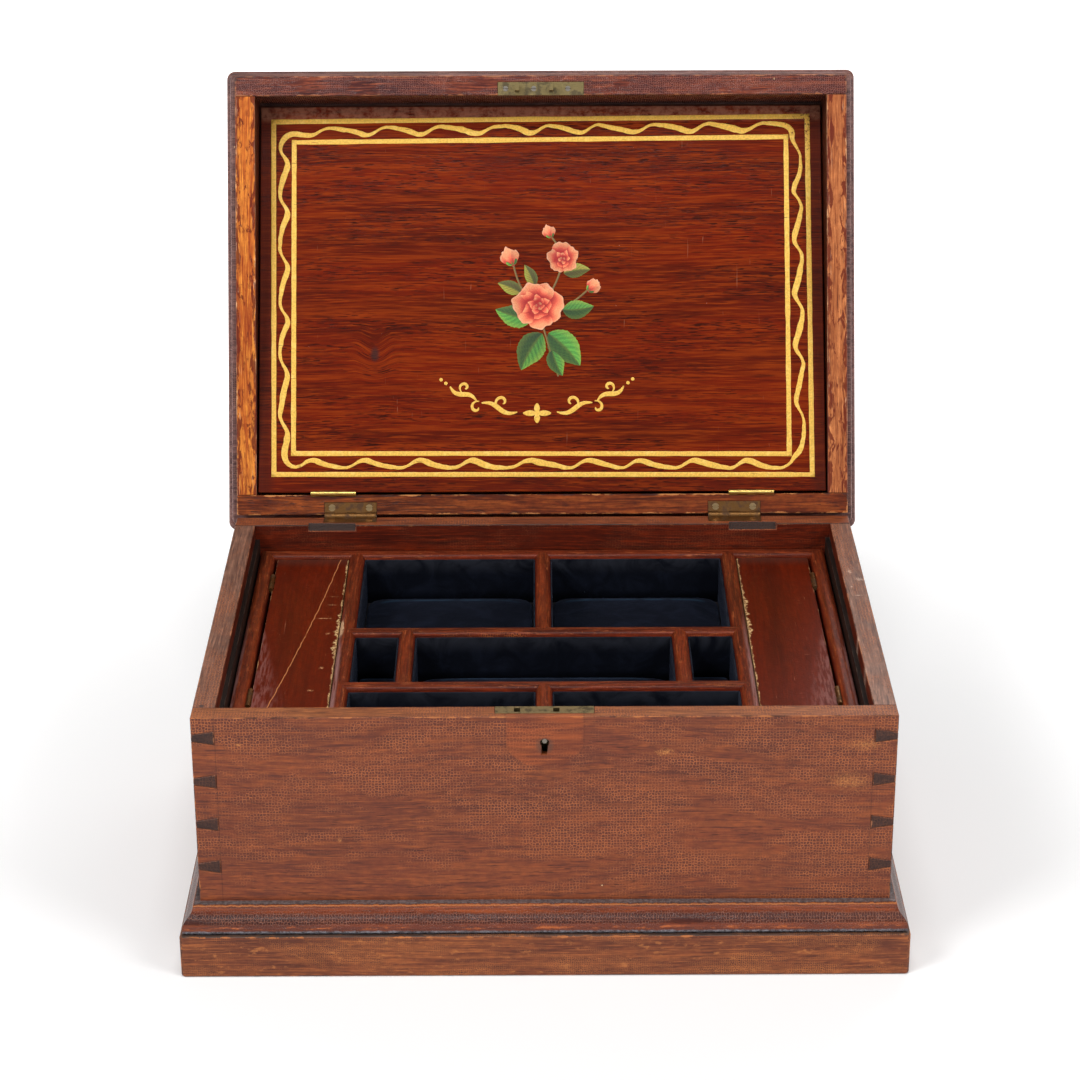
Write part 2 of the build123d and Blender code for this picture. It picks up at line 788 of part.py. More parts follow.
with BuildPart() as document_flap:
    block(flap_frame, centred(2 * flap_half_width), (-flap_reach, -flap_edge), (flap_face, flap_back))
    for frame in flap_side_hinges:
        leaf_pocket(frame, flap_hinge_length, moving_edge_leaf, flap_leaf_z, flap_barrel_radius)
    for place in flap_edge_screws:
        screw_hole(place, *small_screw_size)
finish_piece(document_flap, "document_flap")

flap_leaf_size = (flap_leaf_z, flap_barrel_radius, edge_pin_radius)

with BuildPart() as flap_hinge_rail_leaves:
    for frame in rail_side_hinges:
        hinge_leaf(frame, flap_hinge_length, fixed_edge_leaf, *flap_leaf_size, 0)
    for place in rail_edge_screws:
        screw_hole(place, *small_screw_size)
finish_piece(flap_hinge_rail_leaves, "flap_hinge_rail_leaves")

with BuildPart() as flap_hinge_flap_leaves:
    for frame in flap_side_hinges:
        hinge_leaf(frame, flap_hinge_length, moving_edge_leaf, *flap_leaf_size, 1)
    for place in flap_edge_screws:
        screw_hole(place, *small_screw_size)
finish_piece(flap_hinge_flap_leaves, "flap_hinge_flap_leaves")

with BuildPart() as flap_hinge_pins:
    for frame in rail_side_hinges:
        bar_along_x(frame, centred(flap_hinge_length), edge_pin_radius)
finish_piece(flap_hinge_pins, "flap_hinge_pins")

with BuildPart() as flap_screws:
    for place in flap_edge_screws:
        screw(place, *small_screw_size)
finish_piece(flap_screws, "flap_screws")

# Till: round-topped walls and rails that meet in pointed joints

wall_low = till_base + till_floor


def round_topped(frame, length, width=rail_width):
    """A board along the frame's Y axis from its origin, with a rounded top at the till's height."""
    section = Plane(frame.location * Plane.XZ.location)
    with BuildSketch(section) as profile:
        with Locations((0, (wall_low + till_top) / 2)):
            Rectangle(width, till_top - wall_low)
        top_corners = profile.vertices().group_by(Axis.Z)[-1]
        fillet(top_corners, rail_rounding)
    extrude(profile.sketch, amount=-length)


def pointed_notch(x, y, x_dir, y_dir):
    """Cuts the seat for a pointed end that comes in along the given direction at a rail's face."""
    frame = Plane(origin=(x, y, 0), x_dir=(y_dir, -x_dir, 0), z_dir=(0, 0, 1))
    with BuildSketch(frame.offset(rounding_start)) as seat:
        Polygon((-half_rail, 0), (half_rail, 0), (0, half_rail))
    extrude(seat.sketch, amount=rail_rounding, mode=Mode.SUBTRACT)


def pointed_end(x, y, x_dir, y_dir):
    """Shapes a round-topped end that reaches half a rail past the face it meets."""
    frame = Plane(origin=(x, y, 0), x_dir=(y_dir, -x_dir, 0), z_dir=(0, 0, 1))
    block(frame, centred(rail_width), (0, half_rail), (wall_low, rounding_start), Mode.SUBTRACT)
    with BuildSketch(frame.offset(rounding_start)) as waste:
        Polygon((-half_rail, 0), (0, half_rail), (-half_rail, half_rail))
        Polygon((half_rail, 0), (0, half_rail), (half_rail, half_rail))
    extrude(waste.sketch, amount=rail_rounding, mode=Mode.SUBTRACT)


def till_rail(x_start, y_start, x_dir, y_dir, length):
    """A rail between two faces, pointed at both ends, in the open part."""
    start = (x_start - x_dir * half_rail, y_start - y_dir * half_rail, 0)
    frame = Plane(origin=start, x_dir=(y_dir, -x_dir, 0), z_dir=(0, 0, 1))
    round_topped(frame, length + rail_width)
    pointed_end(x_start, y_start, -x_dir, -y_dir)
    pointed_end(x_start + x_dir * length, y_start + y_dir * length, x_dir, y_dir)


def till_wall(x_dir, y_dir):
    """A wall of the till with mitred ends, facing out along the given direction."""
    across = till_half_width if x_dir == 0 else till_half_depth
    outwards = till_half_depth if x_dir == 0 else till_half_width
    middle = outwards - half_rail
    start = (x_dir * middle + y_dir * across, y_dir * middle - x_dir * across, 0)
    frame = Plane(origin=start, x_dir=(x_dir, y_dir, 0), z_dir=(0, 0, 1))
    round_topped(frame, 2 * across)
    side = Plane(origin=(0, 0, 0), x_dir=(-y_dir, x_dir, 0), z_dir=(0, 0, 1))
    inner = across - rail_width
    with BuildSketch(side.offset(wall_low)) as keep:
        Polygon(
            (-across, -outwards),
            (across, -outwards),
            (inner, rail_width - outwards),
            (-inner, rail_width - outwards),
        )
    extrude(keep.sketch, amount=till_top - wall_low, mode=Mode.INTERSECT)


bar_middle = bar_face - half_rail
front_rail_middle = front_rail_front + half_rail
back_rail_middle = back_rail_front + half_rail


def side_wall_pockets(side):
    """Cuts the seats of the two small hinges in one side wall."""
    for y in side_hinge_places:
        frame = side_hinge_frame(side, y)
        leaf_pocket(frame, side_hinge_length, fixed_edge_leaf, side_leaf_z, side_barrel_radius)


with BuildPart() as till_front_wall:
    till_wall(0, -1)
    for x in (-bar_middle, 0, bar_middle):
        pointed_notch(x, -till_inner_half_depth, 0, -1)
finish_piece(till_front_wall, "till_front_wall")

with BuildPart() as till_back_wall:
    till_wall(0, 1)
    for x in (-bar_middle, 0, bar_middle):
        pointed_notch(x, till_inner_half_depth, 0, 1)
finish_piece(till_back_wall, "till_back_wall")

with BuildPart() as till_left_wall:
    till_wall(-1, 0)
    side_wall_pockets(-1)
finish_piece(till_left_wall, "till_left_wall")

with BuildPart() as till_right_wall:
    till_wall(1, 0)
    side_wall_pockets(1)
finish_piece(till_right_wall, "till_right_wall")

with BuildPart() as till_bottom:
    with BuildSketch(Plane.XY.offset(till_base)):
        Rectangle(2 * till_half_width, 2 * till_half_depth)
    extrude(amount=till_floor)
finish_piece(till_bottom, "till_bottom")


def till_bar(name, side):
    """A long bar beside a side compartment, notched for the two cross rails."""
    with BuildPart() as bar:
        till_rail(side * bar_middle, -till_inner_half_depth, 0, 1, 2 * till_inner_half_depth)
        for y in (front_rail_middle, back_rail_middle):
            pointed_notch(side * bar_inner_face, y, side, 0)
    finish_piece(bar, name)


till_bar("till_left_bar", -1)
till_bar("till_right_bar", 1)


def cross_rail(name, y, outer, outer_notches, inner_notches):
    """A rail from bar to bar, notched on its outer and inner faces for the dividers."""
    with BuildPart() as rail:
        till_rail(-bar_inner_face, y, 1, 0, 2 * bar_inner_face)
        for x in outer_notches:
            pointed_notch(x, y + outer * half_rail, 0, -outer)
        for x in inner_notches:
            pointed_notch(x, y - outer * half_rail, 0, outer)
    finish_piece(rail, name)


middle_dividers = (-small_divider_place, small_divider_place)
cross_rail("till_back_cross_rail", back_rail_middle, 1, (0,), middle_dividers)
cross_rail("till_front_cross_rail", front_rail_middle, -1, (0,), middle_dividers)


def till_divider(name, x, low, high):
    """A short rail from front to back between two rails."""
    with BuildPart() as divider:
        till_rail(x, low, 0, 1, high - low)
    finish_piece(divider, name)


till_divider("till_back_divider", 0, back_rail_back, till_inner_half_depth)
till_divider("till_front_divider", 0, -till_inner_half_depth, front_rail_front)
till_divider("till_middle_left_divider", -small_divider_place, front_rail_back, back_rail_front)
till_divider("till_middle_right_divider", small_divider_place, front_rail_back, back_rail_front)

with BuildPart() as till_lid_rests:
    for side in (-1, 1):
        x_span = sorted((side * bar_face, side * (bar_face + rest_width)))
        rest_top = side_lid_top - side_lid_thickness
        block(Plane.XY, x_span, centred(2 * till_inner_half_depth), (rest_top - rest_height, rest_top))
finish_piece(till_lid_rests, "till_lid_rests")

# Side compartment lids and their hinges


def side_lid(side):
    """A thin board that closes a side compartment, in the open part."""
    x_span = sorted((side * side_lid_inner, side * side_lid_outer))
    z_span = (side_lid_top - side_lid_thickness, side_lid_top)
    block(Plane.XY, x_span, centred(2 * side_lid_half_depth), z_span)
    for y in side_hinge_places:
        frame = side_hinge_frame(side, y)
        leaf_pocket(frame, side_hinge_length, moving_edge_leaf, side_leaf_z, side_barrel_radius)


side_leaf_size = (side_leaf_z, side_barrel_radius, edge_pin_radius)


def side_lid_leaves(side):
    """The moving halves of one side lid's hinges, in the open part."""
    for y in side_hinge_places:
        hinge_leaf(side_hinge_frame(side, y), side_hinge_length, moving_edge_leaf, *side_leaf_size, 1)


with BuildPart() as till_left_lid:
    side_lid(-1)
finish_piece(till_left_lid, "till_left_lid")

with BuildPart() as till_right_lid:
    side_lid(1)
finish_piece(till_right_lid, "till_right_lid")

with BuildPart() as till_left_lid_leaves:
    side_lid_leaves(-1)
finish_piece(till_left_lid_leaves, "till_left_lid_leaves")

with BuildPart() as till_right_lid_leaves:
    side_lid_leaves(1)
finish_piece(till_right_lid_leaves, "till_right_lid_leaves")

with BuildPart() as till_hinge_wall_leaves:
    for side in (-1, 1):
        for y in side_hinge_places:
            hinge_leaf(side_hinge_frame(side, y), side_hinge_length, fixed_edge_leaf, *side_leaf_size, 0)
finish_piece(till_hinge_wall_leaves, "till_hinge_wall_leaves")

with BuildPart() as till_hinge_pins:
    for side in (-1, 1):
        for y in side_hinge_places:
            bar_along_x(side_hinge_frame(side, y), centred(side_hinge_length), edge_pin_radius)
finish_piece(till_hinge_pins, "till_hinge_pins")

# Velvet: a lining round each compartment and a crowned pad on its floor

back_row = (back_rail_back, till_inner_half_depth)
middle_row = (front_rail_back, back_rail_front)
front_row = (-till_inner_half_depth, front_rail_front)
left_half = (-bar_inner_face, -half_rail)
right_half = (half_rail, bar_inner_face)
compartments = {
    "pad_back_left": (left_half, back_row),
    "pad_back_right": (right_half, back_row),
    "pad_middle_small_left": ((-bar_inner_face, -small_divider_outer), middle_row),
    "pad_middle_wide": ((-small_divider_inner, small_divider_inner), middle_row),
    "pad_middle_small_right": ((small_divider_outer, bar_inner_face), middle_row),
    "pad_front_left": (left_half, front_row),
    "pad_front_right": (right_half, front_row),
}

with BuildPart() as velvet_linings:
    lining_z = (wall_low, till_top - velvet_drop)
    for x_span, y_span in compartments.values():
        block(Plane.XY, x_span, y_span, lining_z)
        inner_x = (x_span[0] + velvet_thickness, x_span[1] - velvet_thickness)
        inner_y = (y_span[0] + velvet_thickness, y_span[1] - velvet_thickness)
        block(Plane.XY, inner_x, inner_y, lining_z, Mode.SUBTRACT)
finish_piece(velvet_linings, "velvet_linings")

pad_stations = 5


def pad_section(x, y_middle, half, edge, crown):
    """A slice through a pad: flat below, leaning at the sides and arched above."""
    with BuildSketch(Plane(origin=(x, y_middle, wall_low), x_dir=(0, 1, 0), z_dir=(1, 0, 0))) as slice_face:
        with BuildLine():
            Polyline((-half + pad_lean, edge), (-half, 0), (half, 0), (half - pad_lean, edge))
            ThreePointArc((half - pad_lean, edge), (0, crown), (-half + pad_lean, edge))
        make_face()
    return slice_face.sketch


def crowned_pad(name, x_span, y_span):
    """A pad on a compartment's floor, highest in the middle."""
    margin = velvet_thickness + pad_gap
    x_low = x_span[0] + margin
    length = x_span[1] - x_span[0] - 2 * margin
    half = (y_span[1] - y_span[0]) / 2 - margin
    y_middle = (y_span[0] + y_span[1]) / 2
    slices = []
    for station in range(pad_stations):
        share = station / (pad_stations - 1)
        swell = sin(share * pi)
        edge = pad_edge_height - pad_end_fall * (1 - swell)
        crown = pad_edge_height + (pad_crown_height - pad_edge_height) * swell
        slices.append(pad_section(x_low + length * share, y_middle, half, edge, crown))
    with BuildPart() as pad:
        loft(slices)
    finish_piece(pad, name)


for name, (x_span, y_span) in compartments.items():
    crowned_pad(name, x_span, y_span)
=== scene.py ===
"""Looks of a travelling writing box: worn mahogany, painted gold lines, velvet and old brass."""

import json
from math import cos, pi, radians, sin

import bmesh
import bpy
import numpy as np
from mathutils import Matrix, Vector


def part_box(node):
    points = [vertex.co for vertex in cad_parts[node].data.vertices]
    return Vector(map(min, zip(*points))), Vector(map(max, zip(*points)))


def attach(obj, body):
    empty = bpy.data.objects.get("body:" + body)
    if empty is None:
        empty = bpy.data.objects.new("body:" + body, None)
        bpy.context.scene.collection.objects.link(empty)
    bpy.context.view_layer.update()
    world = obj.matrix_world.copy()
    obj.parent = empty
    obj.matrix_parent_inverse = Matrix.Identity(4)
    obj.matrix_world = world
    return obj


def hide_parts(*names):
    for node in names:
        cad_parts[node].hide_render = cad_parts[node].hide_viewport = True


bl_info = {
    "name": "Travelling Writing Box",
    "version": (1, 0, 0),
    "blender": (4, 5, 0),
    "location": "View3D > Sidebar > Writing Box",
    "description": "Dresses a travelling writing box in wood, paint, velvet and brass",
    "category": "Object",
}

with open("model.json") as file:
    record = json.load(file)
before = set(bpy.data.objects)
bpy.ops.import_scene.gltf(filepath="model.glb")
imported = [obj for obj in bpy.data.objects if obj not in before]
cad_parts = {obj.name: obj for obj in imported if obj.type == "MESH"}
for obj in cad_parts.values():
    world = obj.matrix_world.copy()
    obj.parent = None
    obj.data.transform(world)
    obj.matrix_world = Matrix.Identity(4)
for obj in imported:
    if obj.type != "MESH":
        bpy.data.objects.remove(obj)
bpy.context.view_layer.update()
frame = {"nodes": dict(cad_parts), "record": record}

nodes = frame["nodes"]
bodies = frame["record"]["behaviour"]["bodies"]
joints = {joint["name"]: joint for joint in frame["record"]["behaviour"]["joints"]}

RIGHT = Vector((1, 0, 0))
BACKWARDS = Vector((0, 1, 0))
UP = Vector((0, 0, 1))


# Frames of the boards


def frame_matrix(origin, x_axis, z_axis):
    """A frame from its origin, its X axis and its Z axis."""
    y_axis = z_axis.cross(x_axis)
    return Matrix.Translation(origin) @ Matrix((x_axis, y_axis, z_axis)).transposed().to_4x4()


def vertex_array(mesh):
    """All vertices of a mesh as rows of X, Y and Z."""
    values = np.empty(len(mesh.vertices) * 3)
    mesh.vertices.foreach_get("co", values)
    return values.reshape(-1, 3)


def facing_normal(node):
    """The direction of the largest face of a node that looks to the front."""
    mesh = nodes[node].data
    areas = np.empty(len(mesh.polygons))
    normals = np.empty(len(mesh.polygons) * 3)
    mesh.polygons.foreach_get("area", areas)
    mesh.polygons.foreach_get("normal", normals)
    normals = normals.reshape(-1, 3)
    areas[normals[:, 1] > 0] = 0
    return Vector(normals[areas.argmax()])


def box_in(node, matrix):
    """The lowest and highest corners of a node, measured in a frame."""
    inverse = np.array(matrix.inverted())
    points = vertex_array(nodes[node].data) @ inverse[:3, :3].T + inverse[:3, 3]
    return points.min(axis=0), points.max(axis=0)


opening = radians(-joints["lid_hinge"]["range_deg"][0])
lid_normal = Vector((0, -sin(opening), -cos(opening)))
flap_normal = facing_normal("document_flap")

# X runs along the grain. In the lid and the flap, Y runs up from the hinge and Z out of the face
along_case = Matrix.Identity(4)
across_case = frame_matrix(Vector(), BACKWARDS, UP)
along_lid = frame_matrix(Vector(joints["lid_hinge"]["pos_m"]), RIGHT, lid_normal)
across_lid = along_lid @ Matrix.Rotation(pi / 2, 4, "Z")
along_flap = frame_matrix(Vector(joints["flap_hinge"]["pos_m"]), RIGHT, flap_normal)


# Sizes and colours that a user may change


class BoxSizes(bpy.types.PropertyGroup):
    """Sizes of the painted, soft and worn details."""

    edge_ease: bpy.props.FloatProperty(
        name="Edge Ease", description="Width of the worn bevel on the boards", default=0.0004, unit="LENGTH"
    )
    line_width: bpy.props.FloatProperty(
        name="Line Width", description="Width of the painted border lines", default=0.0030, unit="LENGTH"
    )
    ribbon_width: bpy.props.FloatProperty(
        name="Ribbon Width", description="Mean width of the painted wave", default=0.0026, unit="LENGTH"
    )
    ribbon_swing: bpy.props.FloatProperty(
        name="Ribbon Swing", description="How far the wave swings to each side", default=0.0023, unit="LENGTH"
    )
    paint_height: bpy.props.FloatProperty(
        name="Paint Height", description="Thickness of the paint", default=0.00006, unit="LENGTH"
    )
    pad_crown: bpy.props.FloatProperty(
        name="Pad Crown", description="Height of the pads in their middle", default=0.0080, unit="LENGTH"
    )
    pad_edge: bpy.props.FloatProperty(
        name="Pad Edge", description="Height of the pads at their sides", default=0.0042, unit="LENGTH"
    )


class BoxColours(bpy.types.PropertyGroup):
    """Colours of the woods, the paint, the velvet and the brass."""

    gold: bpy.props.FloatVectorProperty(
        name="Gold", description="Colour of the painted lines", subtype="COLOR", default=(0.93, 0.55, 0.09)
    )
    velvet: bpy.props.FloatVectorProperty(
        name="Velvet", description="Colour of the velvet", subtype="COLOR", default=(0.0030, 0.0039, 0.0074)
    )
    brass: bpy.props.FloatVectorProperty(
        name="Brass", description="Colour of the old brass", subtype="COLOR", default=(0.26, 0.20, 0.09)
    )
    blossom: bpy.props.FloatVectorProperty(
        name="Blossom", description="Colour of the painted petals", subtype="COLOR", default=(0.84, 0.11, 0.055)
    )
    leaf: bpy.props.FloatVectorProperty(
        name="Leaf", description="Colour of the painted leaves", subtype="COLOR", default=(0.050, 0.270, 0.035)
    )


# Building shader nodes


def tone(red, green, blue):
    """A colour written as it shows on a screen, from 0 to 255, turned into the shader's scale."""
    shown = np.array((red, green, blue)) / 255
    linear = np.where(shown > 0.04045, ((shown + 0.055) / 1.055) ** 2.4, shown / 12.92)
    return tuple(float(value) for value in linear)


class Value:
    """A socket that signs and comparisons can be written with. Each of them adds a math node to its graph."""

    def __init__(self, graph, socket):
        self.graph, self.socket = graph, socket

    def __abs__(self):
        return self.graph.math("ABSOLUTE", self)


def arithmetic(operation, turned=False):
    """The method of Value for one operation. A turned one has the value on its right side."""
    if turned:
        return lambda value, other: value.graph.math(operation, other, value)
    return lambda value, other: value.graph.math(operation, value, other)


SIGNS = {"add": "ADD", "sub": "SUBTRACT", "mul": "MULTIPLY", "truediv": "DIVIDE", "pow": "POWER"}
for sign, operation in SIGNS.items():
    setattr(Value, f"__{sign}__", arithmetic(operation))
    setattr(Value, f"__r{sign}__", arithmetic(operation, True))
Value.__gt__ = arithmetic("GREATER_THAN")
Value.__lt__ = arithmetic("LESS_THAN")


class Graph:
    """Adds nodes to a node tree and joins them."""

    def __init__(self, tree):
        self.tree = tree

    def add(self, kind, **settings):
        """A new node with the given settings."""
        node = self.tree.nodes.new(kind)
        for name, value in settings.items():
            setattr(node, name, value)
        return node

    def feed(self, socket, value):
        """Joins a socket to another one, or gives it a value."""
        value = getattr(value, "socket", value)
        if isinstance(value, bpy.types.NodeSocket):
            self.tree.links.new(value, socket)
        elif socket.type == "RGBA":
            socket.default_value = (*value[:3], 1)
        else:
            socket.default_value = value

    def fed(self, node, keys, values, output=0):
        """An output of a node, once the inputs with the given names or places have their values."""
        for key, value in zip(keys, values):
            self.feed(node.inputs[key], value)
        return Value(self, node.outputs[output])

    def math(self, operation, *values, clamp=False):
        """A number worked out from others, or a vector where one of them is a vector or a colour."""
        sockets = [getattr(value, "socket", value) for value in values]
        if all(isinstance(value, (int, float)) or getattr(value, "type", "") == "VALUE" for value in sockets):
            node = self.add("ShaderNodeMath", operation=operation, use_clamp=clamp)
            return self.fed(node, range(len(values)), values)
        node = self.add("ShaderNodeVectorMath", operation=operation)
        return self.fed(node, range(len(values)), values, "Value" if operation == "LENGTH" else "Vector")

    def split(self, vector):
        """The three parts of a vector."""
        node = self.add("ShaderNodeSeparateXYZ")
        self.feed(node.inputs[0], vector)
        return tuple(Value(self, output) for output in node.outputs)

    def combine(self, *parts):
        """A vector from three parts."""
        return self.fed(self.add("ShaderNodeCombineXYZ"), range(3), parts)

    def rise(self, *limits):
        """A value turned into 0 below a low limit and 1 above a high one, with a smooth step between them."""
        node = self.add("ShaderNodeMapRange", interpolation_type="SMOOTHSTEP")
        return self.fed(node, ("Value", "From Min", "From Max"), limits)

    def fall(self, *limits):
        """A value turned into 1 below a low limit and 0 above a high one."""
        return 1.0 - self.rise(*limits)

    def noise(self, vector, scale, detail=2.0, roughness=0.5, distortion=0.0):
        """Cloudy noise from 0 to 1."""
        keys = ("Vector", "Scale", "Detail", "Roughness", "Distortion")
        return self.fed(self.add("ShaderNodeTexNoise"), keys, (vector, scale, detail, roughness, distortion))

    def mix(self, amount, first, second, blend="MIX"):
        """A colour between two others."""
        node = self.add("ShaderNodeMix", data_type="RGBA", blend_type=blend)
        return self.fed(node, (0, 6, 7), (amount, first, second), 2)

    def group(self, name, *values):
        """A shared node group with its first inputs set: its outputs by name, or its only output."""
        node = self.add("ShaderNodeGroup", node_tree=bpy.data.node_groups.get(name) or node_group(name))
        for socket, value in zip(node.inputs, values):
            self.feed(socket, value)
        outputs = {output.name: Value(self, output) for output in node.outputs}
        return outputs if len(outputs) > 1 else outputs.popitem()[1]


# Shared node groups


def mahogany_figure(g, place, light, middle, dark, waver, bands, ribbons, strands, pores, crowd):
    """Mahogany figure: broad bands, finer ribbons, thin strands and short dark pores, all drawn out along X."""
    sway = g.noise(place * (7.0, 9.0, 9.0), 1.0, 1.0) * waver
    bent = place + g.combine(0.0, sway, sway)
    broad = g.noise(bent * (4.0, 45.0, 45.0), 1.0, 3.0)
    finer = g.noise(bent * (14.0, 300.0, 300.0), 1.0, 3.0, 0.65)
    thin = g.noise(bent * (45.0, 1150.0, 1150.0), 1.0, 2.0, 0.6)
    short = g.rise(g.noise(bent * (120.0, 1600.0, 1600.0), 1.0, 1.0), crowd, crowd + 0.09)
    crowded = g.rise(g.noise(bent * (12.0, 90.0, 90.0), 1.0, 2.0), 0.36, 0.6)
    colour = g.mix(g.fall(broad, 0.3, 0.62) * bands, middle, dark)
    colour = g.mix(g.rise(finer, 0.44, 0.7) * ribbons, colour, light)
    colour = g.mix(g.fall(finer, 0.3, 0.46) * ribbons * 0.75, colour, dark)
    colour = g.mix(g.rise(thin, 0.5, 0.72) * strands, colour, light)
    colour = g.mix(g.fall(thin, 0.28, 0.46) * strands, colour, dark)
    depth = g.math("MULTIPLY", short * crowded, pores, clamp=True)
    colour = g.mix(depth, colour, g.mix(0.55, dark, (0.004, 0.002, 0.001)))
    return {"Color": colour, "Pores": depth}


def flat_coordinates(g, place, normal):
    """Two coordinates across whichever face the normal looks out of, for patterns that lie flat on it."""
    x, y, z = g.split(place)
    facing_x, facing_y, facing_z = (abs(part) > 0.7 for part in g.split(normal))
    first = x * (1.0 - facing_x) + y * facing_x
    second = z * (1.0 - facing_z) + y * facing_z
    return {"Vector": g.combine(first, second, facing_y * 0.37)}


def crazed_varnish(g, place, cell, spread, patch):
    """Crazed varnish: cells in rough rows like a weave, told by the distance to the nearest cell border."""
    warp = g.fed(g.add("ShaderNodeTexNoise"), ("Vector", "Scale"), (place, 300.0), 1)
    scaled = (place + warp * (0.0008, 0.0008, 0.0)) / g.combine(cell, cell, 1.0)
    cells = []
    for feature, output in (("DISTANCE_TO_EDGE", "Distance"), ("F1", "Color")):
        node = g.add("ShaderNodeTexVoronoi", feature=feature, voronoi_dimensions="2D")
        cells.append(g.fed(node, ("Vector", "Scale", "Randomness"), (scaled, 1.0, 0.56), output))
    border, pick = cells
    patches = g.noise(place * (0.4, 1.0, 1.0), patch, 6.0, 0.68, 0.5)
    edge = 1.0 - spread
    patches = g.rise(patches, edge - 0.05, edge + 0.13)
    worn = g.rise(g.noise(place, 420.0, 3.0, 0.6), 0.34, 0.60)
    lines = g.fall(border, 0.04, 0.17) * (0.35 + worn * 0.65)
    shade = 0.45 + g.split(pick)[0] * 0.55
    hollows = g.rise(border, 0.06, 0.22) * patches * shade
    return {"Lines": lines * patches, "Cells": hollows}


def edge_wear(g, place, low, high, width):
    """Wear along a board's edges: the second smallest distance to the faces of its box, with a ragged limit."""
    above = place - low
    below = high - place
    x, y, z = g.split(g.math("MINIMUM", above, below))
    xy, yz, zx = (g.math("MAXIMUM", *pair) for pair in ((x, y), (y, z), (z, x)))
    distance = g.math("MINIMUM", g.math("MINIMUM", xy, yz), zx)
    reach = width * g.rise(g.noise(place, 130.0, 5.0, 0.7), 0.38, 0.68)
    return {"Mask": g.fall(distance, reach * 0.5, reach + 0.00005)}


def flecks(g, place, spacing, share, size):
    """Scattered small flecks: spots about random points, of which only a share is kept."""
    spots = g.add("ShaderNodeTexVoronoi")
    scaled = place / g.combine(spacing, spacing, spacing)
    pick, spread, _ = g.split(g.fed(spots, ("Vector", "Scale"), (scaled, 1.0), "Color"))
    radius = size * (spread + 0.4)
    ragged_distance = spots.outputs["Distance"] + g.noise(place, 1500.0, 1.0) * 0.03
    return {"Mask": (ragged_distance < radius) * (pick < share)}


def grime(g, place, drift, amount):
    """Dirt and dust in cloudy drifts of a given size."""
    cloud = g.noise(place / g.combine(drift, drift, drift), 1.0, 6.0, 0.65)
    level = 0.72 - amount * 0.35
    return {"Mask": g.rise(cloud, level, level + 0.16)}


# What builds each shared group, and its inputs: None stands for a vector, and three numbers for a colour
GROUPS = {
    "Mahogany Figure": (
        mahogany_figure,
        dict(
            Vector=None, Light=(0.3, 0.1, 0.04), Middle=(0.2, 0.06, 0.03), Dark=(0.06, 0.02, 0.01),
            Waver=0.012, Bands=1.0, Ribbons=0.6, Strands=0.4, Pores=0.6, Crowd=0.60,
        ),
    ),
    "Flat Coordinates": (flat_coordinates, dict(Vector=None, Normal=None)),
    "Crazed Varnish": (crazed_varnish, dict(Vector=None, Cell=0.0012, Spread=0.5, Patch=42.0)),
    "Edge Wear": (edge_wear, dict(Vector=None, Low=None, High=None, Width=0.002)),
    "Flecks": (flecks, dict(Vector=None, Spacing=0.01, Share=0.2, Size=0.05)),
    "Grime": (grime, dict(Vector=None, Drift=0.03, Amount=0.5)),
}
VECTOR, COLOUR, NUMBER = "NodeSocketVector", "NodeSocketColor", "NodeSocketFloat"
KINDS = {"VECTOR": VECTOR, "RGBA": COLOUR, "VALUE": NUMBER}


def node_group(name):
    """A new shared node group, which gives what its function makes of its inputs."""
    build, inputs = GROUPS[name]
    tree = bpy.data.node_groups.new(name, "ShaderNodeTree")
    for label, default in inputs.items():
        kind = VECTOR if default is None else COLOUR if isinstance(default, tuple) else NUMBER
        socket = tree.interface.new_socket(label, in_out="INPUT", socket_type=kind)
        if default is not None:
            socket.default_value = (*default, 1) if kind == COLOUR else default
    g = Graph(tree)
    given = g.add("NodeGroupInput").outputs
    made = build(g, *(Value(g, given[label]) for label in inputs))
    for label, value in made.items():
        tree.interface.new_socket(label, in_out="OUTPUT", socket_type=KINDS[value.socket.type])
    result = g.add("NodeGroupOutput")
    for label, value in made.items():
        g.feed(result.inputs[label], value)
    return tree


# Materials


def start_material(name, matrix=None):
    """A material with its graph, its shader and the coordinates and normal of a frame."""
    material = bpy.data.materials.new(name)
    material.use_nodes = True
    g = Graph(material.node_tree)
    shader = material.node_tree.nodes["Principled BSDF"]
    seen = g.add("ShaderNodeTexCoord").outputs
    place, normal = Value(g, seen["Object"]), Value(g, seen["Normal"])
    if matrix is not None:
        place, normal = in_frame(g, place, matrix, matrix.to_translation()), in_frame(g, normal, matrix)
    return material, g, shader, place, normal


def in_frame(g, vector, matrix, origin=(0, 0, 0)):
    """A direction measured in a frame, or a point, which also counts from the frame's origin."""
    node = g.add("ShaderNodeMapping", vector_type="TEXTURE")
    return g.fed(node, ("Vector", "Location", "Rotation"), (vector, origin, matrix.to_euler()))


def finish_surface(g, shader, colour, roughness, height, strength=0.4, distance=0.0003, **constants):
    """Feeds a shader its colour, its roughness and a bump, and sets constants, named as its inputs are."""
    for name, value in constants.items():
        shader.inputs[name.replace("_", " ")].default_value = value
    g.feed(shader.inputs["Base Color"], colour)
    g.feed(shader.inputs["Roughness"], roughness)
    bump = g.fed(g.add("ShaderNodeBump"), ("Strength", "Distance", "Height"), (strength, distance, height))
    g.feed(shader.inputs["Normal"], bump)


